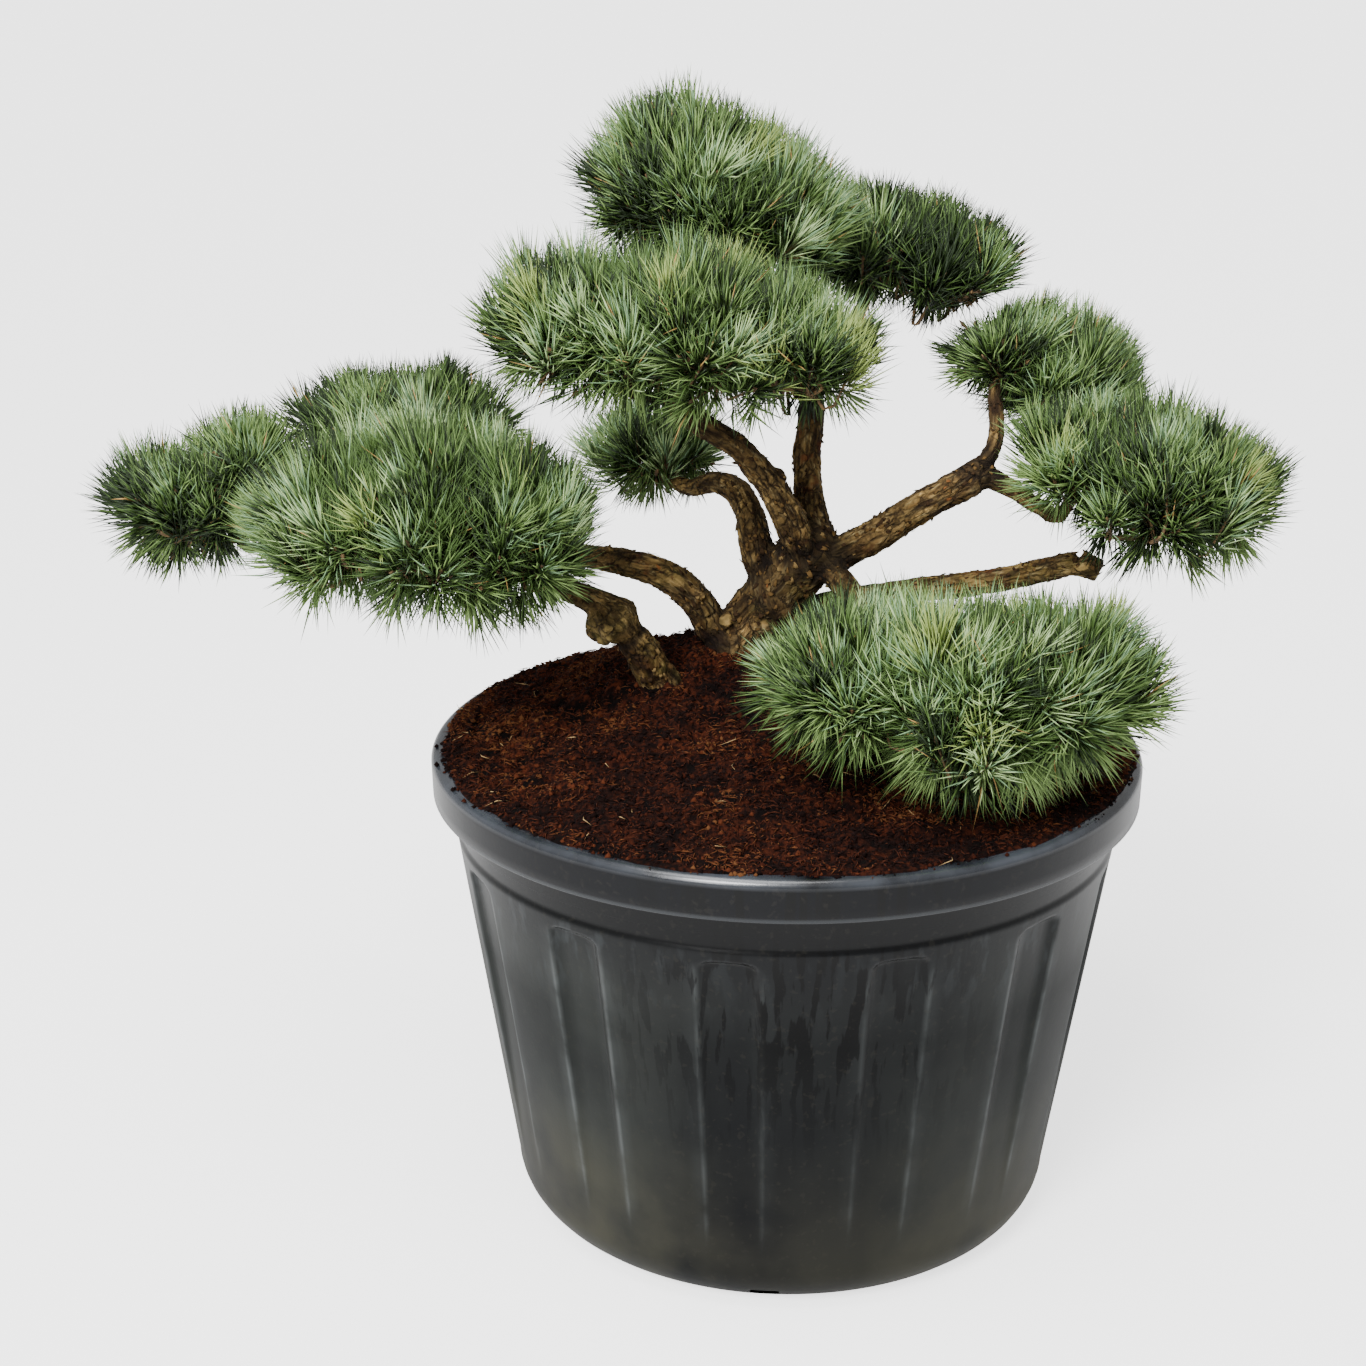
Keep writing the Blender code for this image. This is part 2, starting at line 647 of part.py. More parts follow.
def is_free(point, name, lines, radii):
    """Whether a point is in the mass's own space, above the soil and clear of every limb."""
    own = share_of_mass(point, name)
    if own > OWN_SPACE_EDGE:
        return False
    for other in MASSES:
        if other != name and share_of_mass(point, other) < own + OWN_SPACE_MARGIN:
            return False
    if math.hypot(point.x, point.y) < RIM_RADIUS + SOIL_CLEARANCE:
        if point.z < max(soil_height(point.x, point.y), POT_HEIGHT) + SOIL_CLEARANCE:
            return False
    return all(distance_to_limb(point, lines[limb], radii[limb]) > LIMB_CLEARANCE for limb in lines)


def lobe_solid(lobe, turn, material):
    """The clipped core of one lobe, its facets turned by an angle."""
    centre, half = lobe
    bm = bmesh.new()
    bmesh.ops.create_uvsphere(bm, u_segments=LOBE_COLUMNS, v_segments=LOBE_ROWS, radius=1.0)
    bmesh.ops.transform(bm, matrix=Matrix.Rotation(turn, 4, "Z"), verts=bm.verts)
    for vert in bm.verts:
        low = UNDERSIDE_SHARE if vert.co.z < 0 else 1.0
        vert.co = Vector((vert.co.x * half[0], vert.co.y * half[1], vert.co.z * half[2] * low)) * CORE_SHARE
        vert.co += Vector(centre)
    bmesh.ops.triangulate(bm, faces=bm.faces)
    return finish_bmesh("lobe", bm, material)


def blade_solid(root, tip, turn, material):
    """A spray of needles: a thin blade that widens outwards into teeth."""
    axis = tip - root
    length = axis.length
    axis.normalize()
    helper = Vector((0.0, 0.0, 1.0)) if abs(axis.z) < 0.9 else Vector((1.0, 0.0, 0.0))
    across = Matrix.Rotation(turn, 3, axis) @ axis.cross(helper).normalized()
    thick = axis.cross(across) * BLADE_THICKNESS / 2
    half = length * BLADE_SPREAD / 2
    outline = [(0.0, -half * BLADE_FOOT)]
    for tooth in range(BLADE_TEETH):
        side = -1.0 + 2.0 * tooth / (BLADE_TEETH - 1)
        outline.append((length * (1.0 - BLADE_ARCH * side * side), half * side))
        if tooth < BLADE_TEETH - 1:
            valley = side + 1.0 / (BLADE_TEETH - 1)
            outline.append((length * VALLEY_REACH, half * VALLEY_WIDTH * valley))
    outline.append((0.0, half * BLADE_FOOT))
    bm = bmesh.new()
    faces = []
    for level in (-1.0, 1.0):
        verts = [bm.verts.new(root + axis * u + across * v + thick * level) for u, v in outline]
        faces.append(bm.faces.new(verts))
    lower, upper = [list(face.verts) for face in faces]
    for k in range(len(outline)):
        after = (k + 1) % len(outline)
        bm.faces.new((lower[k], lower[after], upper[after], upper[k]))
    bmesh.ops.triangulate(bm, faces=bm.faces)
    return finish_bmesh("blade", bm, material)


def blade_sites(name, rng):
    """Roots and tips of a mass's sprays, by the golden angle over the lobes' domes."""
    lobes = MASSES[name]["lobes"]
    areas = [half[0] * half[1] for _, half in lobes]
    turn = math.pi * (3.0 - math.sqrt(5.0))
    sites = []
    for lobe, area in zip(lobes, areas):
        centre, half = Vector(lobe[0]), lobe[1]
        count = round(MASSES[name]["blades"] * area / sum(areas) * SPRAYS_TRIED)
        for k in range(count):
            rise = 1.0 - (1.0 - SPRAY_LOWEST) * (k + 0.5) / count
            angle = turn * k + rng.uniform(-SPRAY_JITTER, SPRAY_JITTER)
            flat = math.sqrt(max(0.0, 1.0 - rise * rise))
            low = UNDERSIDE_SHARE if rise < 0 else 1.0
            out = Vector((flat * math.cos(angle) * half[0], flat * math.sin(angle) * half[1],
                          rise * half[2] * low))
            tip = centre + out
            root = centre + out * SPRAY_ROOT_SHARE - Vector((0.0, 0.0, SPRAY_ROOT_DROP * half[2]))
            sites.append((root, tip))
    return sites


def clear_blade(root, tip, name, lines, radii):
    """The tip, drawn in step by step until the whole spray is free; None if it has to be left out."""
    for shrink in SPRAY_SHRINKS:
        end = root + (tip - root) * shrink
        half = (end - root).length * BLADE_SPREAD / 2
        shoulder = root.lerp(end, SPRAY_SHOULDER)
        probes = [root.lerp(end, 0.5), shoulder, end]
        for offset in (Vector((half, 0, 0)), Vector((0, half, 0)), Vector((0, 0, half))):
            probes += [shoulder + offset, shoulder - offset]
        inside = [share_of_mass(probe, name) < SPRAY_OUTERMOST for probe in probes]
        free = [is_free(probe, name, lines, radii) for probe in probes
                if share_of_mass(probe, name) <= 1.0]
        if free and all(free) and all(inside):
            return end
    return None


def build_mass(name, seed, tip, direction, tip_radius, lines, radii):
    """One mass of foliage, fused into a single closed body that starts clear of its bough."""
    rng = random.Random(seed)
    needles = bpy.data.materials["pine_needles"]
    lobes = MASSES[name]["lobes"]
    nearest = min(lobes, key=lambda lobe: (Vector(lobe[0]) - tip).length)
    start = tip + direction * GAP
    heart = Vector(nearest[0])
    middle = start + direction * STEM_LENGTH
    stem_end = start.lerp(heart, STEM_SINK)
    body = tube(name, [start, middle, stem_end], [tip_radius, tip_radius * 0.9, tip_radius * 0.6],
                BOUGH_SIDES, needles)
    parts = [lobe_solid(lobe, rng.uniform(0.0, math.pi), needles) for lobe in lobes]
    for k in range(TWIGS_PER_MASS):
        lobe = lobes[k % len(lobes)]
        angle = 2 * math.pi * (k + rng.random() * 0.5) / TWIGS_PER_MASS
        half = lobe[1]
        reach = Vector((math.cos(angle) * half[0] * TWIG_SPREAD,
                        math.sin(angle) * half[1] * TWIG_SPREAD, -half[2] * TWIG_DROP))
        end = Vector(lobe[0]) + reach
        fork = stem_end.lerp(end, 0.5)
        if is_free(end, name, lines, radii) and is_free(fork, name, lines, radii):
            thickness = [TWIG_RADIUS, TWIG_RADIUS * 0.8, TWIG_RADIUS * 0.5]
            parts.append(tube("twig", [stem_end, fork, end], thickness, TWIG_SIDES, needles))
    for root, end in blade_sites(name, rng):
        end = clear_blade(root, end, name, lines, radii)
        if end is not None:
            parts.append(blade_solid(root, end, rng.uniform(0.0, math.pi), needles))
    join_as_one(body, parts)
    keep_largest_piece(body)
    merge_flat_faces(body)
    body.data.shade_flat()
    return body


def build_foliage(lines, radii):
    """Every mass, each on the tip of its own limb."""
    make_material("pine_needles", (0.075, 0.135, 0.060), 0.6)
    others = [surface_tree(thing) for thing in bpy.data.objects]
    for name, mass in MASSES.items():
        line = lines[mass["bearer"]]
        direction = (line[-1] - line[-2]).normalized()
        tip_radius = radii[mass["bearer"]][-1]
        for attempt in range(TRIES):
            seed = SEED + 100 * len(name) + attempt
            body = build_mass(name, seed, line[-1], direction, tip_radius, lines, radii)
            tree = surface_tree(body)
            if is_sound(body) and not any(tree.overlap(other) for other in others):
                others.append(tree)
                break
            remove_objects([body])
        else:
            raise RuntimeError(f"no sound body for {name} in {TRIES} draws")


def main():
    clear_scene()
    build_pot()
    build_soil()
    lines, radii = build_limbs()
    build_foliage(lines, radii)
    print("triangles", sum(sum(len(face.vertices) - 2 for face in thing.data.polygons)
                           for thing in bpy.data.objects))
    for thing in bpy.data.objects:
        print(thing.name, sum(len(face.vertices) - 2 for face in thing.data.polygons))


main()
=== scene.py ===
# %% [markdown]
# A creeping Scots pine, cloud-pruned as a bonsai, in its black nursery pot. The solids give every
# limb, dome and the pot their real place. This lesson dresses them: bark with plates, twigs that
# branch out to the shoots, stiff paired needles, fibrous soil and moulded plastic. Each step first
# says what the real thing is like, then builds it.

# %% The frame
import math

import bmesh
import bpy
import numpy as np
from mathutils import Matrix, Vector
from mathutils.kdtree import KDTree


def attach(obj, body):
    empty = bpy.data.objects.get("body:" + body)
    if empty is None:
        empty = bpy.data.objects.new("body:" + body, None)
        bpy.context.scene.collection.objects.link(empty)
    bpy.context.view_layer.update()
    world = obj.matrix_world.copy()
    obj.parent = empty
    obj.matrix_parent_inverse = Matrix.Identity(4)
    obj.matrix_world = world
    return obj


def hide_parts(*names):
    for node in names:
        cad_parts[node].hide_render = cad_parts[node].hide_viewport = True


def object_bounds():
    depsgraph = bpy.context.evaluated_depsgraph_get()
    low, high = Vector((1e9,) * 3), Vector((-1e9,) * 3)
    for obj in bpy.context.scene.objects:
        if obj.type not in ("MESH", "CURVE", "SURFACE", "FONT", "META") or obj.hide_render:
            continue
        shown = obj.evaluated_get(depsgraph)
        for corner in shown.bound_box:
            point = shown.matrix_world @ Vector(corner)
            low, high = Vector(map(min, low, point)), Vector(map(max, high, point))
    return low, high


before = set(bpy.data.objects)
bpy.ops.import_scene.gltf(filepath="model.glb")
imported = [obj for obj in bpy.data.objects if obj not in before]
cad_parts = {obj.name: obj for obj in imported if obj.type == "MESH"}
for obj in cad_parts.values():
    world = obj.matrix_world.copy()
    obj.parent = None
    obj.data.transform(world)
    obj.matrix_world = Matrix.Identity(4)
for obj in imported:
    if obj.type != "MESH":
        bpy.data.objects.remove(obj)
CAD_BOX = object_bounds()
SEED = 130
print("solids", len(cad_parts), "box", CAD_BOX)

# %% [markdown]
# The photo was taken from a little above, with a short telephoto lens, looking down at the soil. The
# camera's place, heights and angles were solved from the pot's rim, foot and sides.

# %% Camera
CAMERA_DISTANCE = 2.275
CAMERA_HEIGHT = 1.329
CAMERA_PITCH = 0.3332
CAMERA_YAW = 0.0446
CAMERA_LENS = 64.38
CAMERA_SENSOR = 36.0

camera_data = bpy.data.cameras.new("photo_camera")
camera_data.lens = CAMERA_LENS
camera_data.sensor_width = CAMERA_SENSOR
camera = bpy.data.objects.new("photo_camera", camera_data)
bpy.context.scene.collection.objects.link(camera)
camera.location = (0.0, -CAMERA_DISTANCE, CAMERA_HEIGHT)
camera.rotation_euler = (math.pi / 2 - CAMERA_PITCH, 0.0, CAMERA_YAW)
bpy.context.scene.camera = camera
print("camera", tuple(camera.location))

# %% [markdown]
# Most pieces here are either turned or grown, and some come in hundreds of thousands. A few helpers
# serve them all: they link an object, store a bmesh or arrays of points and faces as a piece, repeat
# one small shape, spin a half section about the upright axis, and take the mesh that a modifier makes.
# Colours are named as they look on a screen and turned into the linear values that a shader wants.

# %% Helpers for pieces and plain finishes
def linear(red, green, blue):
    """Screen colour from 0 to 255 as linear values with full alpha."""
    return tuple((value / 255.0) ** 2.2 for value in (red, green, blue)) + (1.0,)


def plain_finish(name, colour, roughness, specular=0.5):
    """A principled material of one colour."""
    material = bpy.data.materials.new(name)
    material.use_nodes = True
    shader = material.node_tree.nodes["Principled BSDF"]
    shader.inputs["Base Color"].default_value = colour
    shader.inputs["Roughness"].default_value = roughness
    shader.inputs["Specular IOR Level"].default_value = specular
    return material


def placed(name, data):
    """A new object that holds this data, linked to the scene."""
    thing = bpy.data.objects.new(name, data)
    bpy.context.scene.collection.objects.link(thing)
    return thing


def add_piece(name, mesh, materials, nodes=()):
    """Link a mesh as a piece of the plant, riding on its one body."""
    piece = placed(name, mesh)
    for material in materials:
        mesh.materials.append(material)
    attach(piece, "root")
    if nodes:
        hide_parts(*nodes)
    return piece


def piece_from_bmesh(name, bm, materials, nodes=()):
    """Store a bmesh, smooth shaded, as a piece."""
    mesh = bpy.data.meshes.new(name)
    bm.to_mesh(mesh)
    bm.free()
    mesh.shade_smooth()
    return add_piece(name, mesh, materials, nodes)


def mesh_from_arrays(name, points, corners, starts, indices=None):
    """A mesh from one array of points, one of face corners and one of where each face starts."""
    mesh = bpy.data.meshes.new(name)
    mesh.vertices.add(len(points))
    mesh.vertices.foreach_set("co", np.asarray(points, np.float32).ravel())
    mesh.loops.add(len(corners))
    mesh.loops.foreach_set("vertex_index", np.asarray(corners, np.int32))
    mesh.polygons.add(len(starts))
    mesh.polygons.foreach_set("loop_start", np.asarray(starts, np.int32))
    if indices is not None:
        mesh.polygons.foreach_set("material_index", np.asarray(indices, np.int32))
    mesh.update(calc_edges=True)
    mesh.validate()
    return mesh


SPINDLE_FACES = ((0, 2, 1), (0, 3, 2), (0, 1, 3), (1, 2, 4), (2, 3, 4), (3, 1, 4))


def repeated_mesh(name, points, faces, tones):
    """Many copies of one small shape, each with points and a material number of its own."""
    copies, size, _ = points.shape
    corners = np.arange(copies)[:, None, None] * size + np.array(faces)[None]
    starts = np.arange(copies * len(faces)) * len(faces[0])
    indices = np.repeat(tones, len(faces))
    return mesh_from_arrays(name, points.reshape(-1, 3), corners.ravel(), starts, indices)


def spun(section, steps):
    """A bmesh spun about the upright axis from pairs of radius and height."""
    bm = bmesh.new()
    verts = [bm.verts.new((radius, 0.0, height)) for radius, height in section]
    edges = [bm.edges.new(pair) for pair in zip(verts, verts[1:])]
    bmesh.ops.spin(bm, geom=verts + edges, cent=(0.0, 0.0, 0.0), axis=(0.0, 0.0, 1.0),
                   angle=2 * math.pi, steps=steps, use_merge=True)
    bmesh.ops.remove_doubles(bm, verts=bm.verts, dist=1e-6)
    return bm


def modified_mesh(thing):
    """The mesh that an object's modifiers make of it."""
    return bpy.data.meshes.new_from_object(thing.evaluated_get(bpy.context.evaluated_depsgraph_get()))


def triangle_count(piece):
    """Triangles that a piece's mesh makes."""
    return sum(len(face.vertices) - 2 for face in piece.data.polygons)


# %% [markdown]
# Bark, soil and lumps all need noise that is the same on every run. Value noise blends random numbers
# on a grid; cell noise gives, for each point, how far the two nearest scattered seeds are. Their
# difference is small near the border between two seeds, which is just how bark splits into plates.

# %% Noise from arrays
def hashed(cells, salt):
    """A repeatable number from 0 to 1 for each whole-number cell."""
    cells = cells.astype(np.int64)
    mixed = (cells[..., 0] * 73856093) ^ (cells[..., 1] * 19349663) ^ (cells[..., 2] * 83492791)
    mixed = (mixed + salt * 265443577) & 0x7FFFFFFF
    mixed = ((mixed ^ (mixed >> 13)) * 1274126177) & 0x7FFFFFFF
    mixed = ((mixed ^ (mixed >> 15)) * 668265263) & 0x7FFFFFFF
    return ((mixed ^ (mixed >> 16)) & 0xFFFFFF) / float(0x1000000)


def value_noise(points, salt=0):
    """Smooth noise from -1 to 1 at each point."""
    base = np.floor(points)
    part = points - base
    part = part * part * (3.0 - 2.0 * part)
    total = np.zeros(len(points))
    for corner in np.ndindex(2, 2, 2):
        weight = np.prod(np.where(np.array(corner), part, 1.0 - part), axis=1)
        total += weight * hashed(base + np.array(corner), salt)
    return 2.0 * total - 1.0


def layered_noise(points, layers=3, salt=0):
    """Noise with finer layers at half the strength each."""
    total = np.zeros(len(points))
    for layer in range(layers):
        total += value_noise(points * 2.0 ** layer, salt + layer) * 0.5 ** layer
    return total


def cell_noise(points, salt=0):
    """Border width and a random number of the nearest scattered seed's cell."""
    base = np.floor(points)
    first = np.full(len(points), 9.0)
    second = np.full(len(points), 9.0)
    owner = np.zeros(len(points))
    for corner in np.ndindex(3, 3, 3):
        cell = base + np.array(corner) - 1.0
        seed = cell + np.stack([hashed(cell, salt + axis) for axis in (1, 2, 3)], axis=1)
        away = np.linalg.norm(points - seed, axis=1)
        closer = away < first
        second = np.where(closer, first, np.minimum(second, away))
        owner = np.where(closer, hashed(cell, salt + 7), owner)
        first = np.where(closer, away, first)
    return second - first, owner


def unit_rows(rows):
    """Rows scaled to length 1."""
    return rows / (np.linalg.norm(rows, axis=1)[:, None] + 1e-12)


def ease(low, high, values):
    """0 below low, 1 above high, smooth between."""
    share = np.clip((values - low) / (high - low), 0.0, 1.0)
    return share * share * (3.0 - 2.0 * share)


print("noise", value_noise(np.array([[0.3, 0.7, 0.2]])).round(3))

# %% [markdown]
# The pine's limbs are short, thick and bent, with a low fork. Each one follows a few way points with
# an even taper; the trunk also flares at the soil and swells at its fork, and the low left bough
# carries a callused knob. The same way points place the solids, so bark grown round them fits.

# %% Limb lines
GROUND_LEVEL = 0.546
FORK = Vector((0.020, 0.066, 0.662))
KNOB = Vector((-0.166, -0.029, 0.615))

LIMBS = {
    "trunk": ((0.0315, 0.0090), (
        (-0.049, 0.077, GROUND_LEVEL), (-0.039, 0.077, 0.572), (-0.019, 0.072, 0.602), (0.005, 0.066, 0.634),
        (0.020, 0.066, 0.662), (0.019, 0.078, 0.692), (0.018, 0.097, 0.724), (0.018, 0.112, 0.756),
        (0.021, 0.130, 0.792), (0.008, 0.148, 0.842), (-0.026, 0.148, 0.892), (-0.047, 0.137, 0.923))),
    "bough_low_left": ((0.0205, 0.0110), (
        (-0.119, 0.004, 0.531), (-0.132, -0.008, 0.559), (-0.145, -0.018, 0.586), (-0.166, -0.029, 0.615),
        (-0.188, -0.036, 0.636), (-0.212, -0.050, 0.652))),
    "bough_arched_left": ((0.0180, 0.0100), (
        (-0.045, 0.080, 0.562), (-0.072, 0.072, 0.572), (-0.084, 0.068, 0.594), (-0.099, 0.066, 0.615),
        (-0.122, 0.066, 0.632), (-0.153, 0.070, 0.641), (-0.195, 0.082, 0.645), (-0.250, 0.092, 0.649),
        (-0.311, 0.097, 0.652))),
    "bough_far_left": ((0.0092, 0.0060), (
        (-0.309, 0.097, 0.652), (-0.350, 0.095, 0.648), (-0.410, 0.088, 0.645), (-0.472, 0.078, 0.645),
        (-0.530, 0.066, 0.656))),
    "bough_back_left": ((0.0086, 0.0066), (
        (-0.291, 0.096, 0.652), (-0.308, 0.112, 0.672), (-0.328, 0.134, 0.700), (-0.341, 0.146, 0.716))),
    "bough_rear": ((0.0205, 0.0095), (
        (-0.012, 0.068, 0.612), (-0.029, 0.082, 0.652), (-0.038, 0.098, 0.684), (-0.050, 0.114, 0.705),
        (-0.070, 0.132, 0.711), (-0.092, 0.154, 0.702))),
    "bough_middle": ((0.0185, 0.0110), (
        (0.018, 0.060, 0.652), (0.010, 0.044, 0.674), (-0.001, 0.030, 0.706), (-0.017, 0.020, 0.737),
        (-0.036, 0.010, 0.763), (-0.053, 0.000, 0.783), (-0.074, -0.010, 0.797), (-0.094, -0.018, 0.812))),
    "bough_top_right": ((0.0088, 0.0070), (
        (0.020, 0.128, 0.790), (0.032, 0.148, 0.816), (0.048, 0.176, 0.844), (0.068, 0.205, 0.872))),
    "bough_right": ((0.0175, 0.0155), (
        (0.014, 0.064, 0.646), (0.046, 0.060, 0.656), (0.081, 0.055, 0.676), (0.109, 0.050, 0.696),
        (0.138, 0.050, 0.714), (0.167, 0.050, 0.732), (0.190, 0.050, 0.747))),
    "bough_right_upper": ((0.0092, 0.0075), (
        (0.184, 0.052, 0.744), (0.199, 0.064, 0.767), (0.203, 0.080, 0.786), (0.202, 0.091, 0.799))),
    "bough_right_outer": ((0.0105, 0.0088), (
        (0.182, 0.051, 0.746), (0.214, 0.045, 0.732), (0.236, 0.040, 0.718), (0.247, 0.037, 0.713))),
    "bough_low_right": ((0.0135, 0.0118), (
        (-0.022, 0.072, 0.590), (0.015, 0.078, 0.594), (0.046, 0.082, 0.601), (0.088, 0.084, 0.607),
        (0.133, 0.080, 0.616), (0.172, 0.075, 0.623), (0.211, 0.070, 0.631), (0.250, 0.060, 0.643),
        (0.284, 0.050, 0.655))),
    "bough_front": ((0.0145, 0.0105), (
        (0.018, 0.062, 0.646), (0.044, 0.046, 0.643), (0.058, 0.024, 0.632), (0.074, -0.008, 0.622),
        (0.090, -0.052, 0.616), (0.104, -0.094, 0.618))),
}


def centre_line(way, spacing):
    """Points of a smooth Catmull-Rom curve through the way points."""
    points = [Vector(point) for point in way]
    padded = [2 * points[0] - points[1], *points, 2 * points[-1] - points[-2]]
    line = []
    for k in range(1, len(padded) - 2):
        a, b, c, d = padded[k - 1:k + 3]
        steps = max(1, round((c - b).length / spacing))
        for step in range(steps):
            t = step / steps
            line.append(0.5 * ((2 * b) + (c - a) * t + (2 * a - 5 * b + 4 * c - d) * t * t
                               + (3 * b - a - 3 * c + d) * t ** 3))
    line.append(points[-1])
    return line


def lengths_along(line):
    """Distance from the first point to each point of a line."""
    lengths = [0.0]
    for a, b in zip(line, line[1:]):
        lengths.append(lengths[-1] + (b - a).length)
    return lengths


FORK_SHARE = 0.28
TRUNK_LOSS = 0.0020
TRUNK_AT_FORK = 0.0295
FORK_LOSS = 0.0125
FORK_LENGTH = 0.16
LEADER_LOSS = 0.0080
ROOT_FLARE = 0.007
ROOT_FLARE_REACH = 0.022
FORK_SWELL = 0.005
FORK_SWELL_REACH = 0.025
KNOB_SWELL = 0.0115
KNOB_SWELL_REACH = 0.017


def limb_radii(name, line):
    """Radius at each point: an even taper, with the trunk's flare and fork or the bough's knob."""
    lengths = lengths_along(line)
    whole = lengths[-1]
    first, last = LIMBS[name][0]
    radii = [first + (last - first) * along / whole for along in lengths]
    if name == "trunk":
        for k, (point, along) in enumerate(zip(line, lengths)):
            share = along / whole
            above = share - FORK_SHARE
            radii[k] = first - TRUNK_LOSS * min(1.0, share / FORK_SHARE)
            if above > 0.0:
                radii[k] = TRUNK_AT_FORK - FORK_LOSS * min(1.0, above / FORK_LENGTH)
                radii[k] -= LEADER_LOSS * above / (1.0 - FORK_SHARE)
            radii[k] += ROOT_FLARE * math.exp(-along / ROOT_FLARE_REACH)
            radii[k] += FORK_SWELL * math.exp(-((point - FORK).length / FORK_SWELL_REACH) ** 2)
    if name == "bough_low_left":
        radii = [radius + KNOB_SWELL * math.exp(-((point - KNOB).length / KNOB_SWELL_REACH) ** 2)
                 for radius, point in zip(radii, line)]
    return radii


LINE_SPACING = 0.012
LINES = {name: centre_line(way, LINE_SPACING) for name, (_, way) in LIMBS.items()}
RADII = {name: limb_radii(name, line) for name, line in LINES.items()}
print("limbs", len(LINES), "longest", round(max(lengths_along(line)[-1] for line in LINES.values()), 3), "m")

# %% [markdown]
# The crown is made of clipped domes. Each is one or more rounded lobes on the tip of its own bough, and
# the bough doesn't stop there: it goes on as a stem into the nearest lobe and forks to the others. The
# stems are thinner limbs, so they join the list of lines and get the same bark.

# %% The domes and the stems inside them
MASSES = {
    "foliage_top": ("trunk", (((-0.122, 0.100, 1.017), (0.094, 0.100, 0.096)),
                              ((-0.070, 0.102, 1.002), (0.082, 0.096, 0.088)),
                              ((-0.022, 0.110, 0.979), (0.096, 0.100, 0.082)))),
    "foliage_top_right": ("bough_top_right", (((0.088, 0.235, 0.940), (0.102, 0.112, 0.068)),
                                              ((0.162, 0.235, 0.910), (0.090, 0.110, 0.064)))),
    "foliage_middle": ("bough_middle", (((-0.198, -0.030, 0.898), (0.116, 0.100, 0.092)),
                                        ((-0.096, -0.040, 0.902), (0.118, 0.116, 0.098)),
                                        ((0.008, -0.035, 0.876), (0.096, 0.094, 0.070)))),
    "foliage_rear": ("bough_rear", (((-0.142, 0.235, 0.720), (0.102, 0.104, 0.064)),)),
    "foliage_right_upper": ("bough_right_upper", (((0.214, 0.165, 0.849), (0.075, 0.098, 0.057)),
                                                  ((0.282, 0.172, 0.806), (0.090, 0.106, 0.084)))),
    "foliage_right": ("bough_right_outer", (((0.280, 0.030, 0.768), (0.086, 0.080, 0.062)),
                                            ((0.364, 0.010, 0.738), (0.132, 0.126, 0.101)))),
    "foliage_front": ("bough_front", (((0.056, -0.185, 0.612), (0.110, 0.104, 0.073)),
                                      ((0.160, -0.205, 0.603), (0.118, 0.120, 0.115)),
                                      ((0.253, -0.190, 0.612), (0.102, 0.106, 0.092)))),
    "foliage_left": ("bough_low_left", (((-0.408, -0.105, 0.728), (0.112, 0.106, 0.102)),
                                        ((-0.322, -0.105, 0.730), (0.114, 0.120, 0.122)),
                                        ((-0.243, -0.100, 0.720), (0.085, 0.094, 0.098)))),
    "foliage_far_left": ("bough_far_left", (((-0.590, 0.050, 0.706), (0.108, 0.104, 0.079)),
                                            ((-0.532, 0.056, 0.742), (0.064, 0.072, 0.062)))),
    "foliage_back_left": ("bough_back_left", (((-0.394, 0.160, 0.760), (0.152, 0.114, 0.072)),)),
}
HUB_DROP = 0.40
STEM_LEAD = 0.018
STEM_TAPER = 0.55
STEM_END_RADIUS = 0.0040
FORK_TAPER = 0.6
FORK_SAG = 0.008
HUBS = {}


def add_stem(name, way, first, last):
    """One stem as a further limb line with an even taper."""
    line = centre_line(way, LINE_SPACING)
    lengths = lengths_along(line)
    LINES[name] = line
    RADII[name] = [first + (last - first) * along / lengths[-1] for along in lengths]
    return line


for name, (bearer, lobes) in MASSES.items():
    tip, ahead = LINES[bearer][-1], (LINES[bearer][-1] - LINES[bearer][-2]).normalized()
    thick = RADII[bearer][-1]
    hubs = [Vector(centre) - Vector((0.0, 0.0, half[2] * HUB_DROP)) for centre, half in lobes]
    HUBS[name] = hubs
    first, *others = sorted(hubs, key=lambda hub: (hub - tip).length)
    joints = add_stem(name + "_stem", (tip, tip + ahead * STEM_LEAD, first), thick, thick * STEM_TAPER)[2:]
    for k, hub in enumerate(others):
        source = min(joints, key=lambda joint: (joint - hub).length)
        middle = source.lerp(hub, 0.5) - Vector((0.0, 0.0, FORK_SAG))
        fork = add_stem(f"{name}_fork_{k}", (source, middle, hub), thick * FORK_TAPER, STEM_END_RADIUS)
        joints = joints + fork
print("domes", len(MASSES), "stems", len(LINES) - len(LIMBS))

# %% [markdown]
# A living fork has no seam: wood flows from one limb into the next. So all the limbs are first made as
# plain tubes of circles bridged to each other, and a voxel remesh then melts them into one skin,
# which a little smoothing rounds in the crotches.

# %% Melt the limbs into one skin
BARK_VOXEL = 0.0021
TUBE_SIDES = 20
STUB_SIDES = 14
SMOOTHING_PASSES = 4


def circle_ring(bm, centre, forward, across, radius, sides):
    """One circle of a tube, square to its path."""
    side = forward.cross(across)
    turn = Matrix((across, side, forward)).transposed().to_4x4()
    place = Matrix.Translation(centre) @ turn
    verts = bmesh.ops.create_circle(bm, segments=sides, radius=radius, matrix=place)["verts"]
    edges = list({edge for vert in verts for edge in vert.link_edges})
    return verts, edges


def frames_along(line):
    """Each point of a line with its forward direction and one across it that never twists."""
    across = Vector((1.0, 0.0, 0.0))
    for k, point in enumerate(line):
        forward = (line[min(k + 1, len(line) - 1)] - line[max(k - 1, 0)]).normalized()
        across = (across - forward * across.dot(forward)).normalized()
        yield point, forward, across


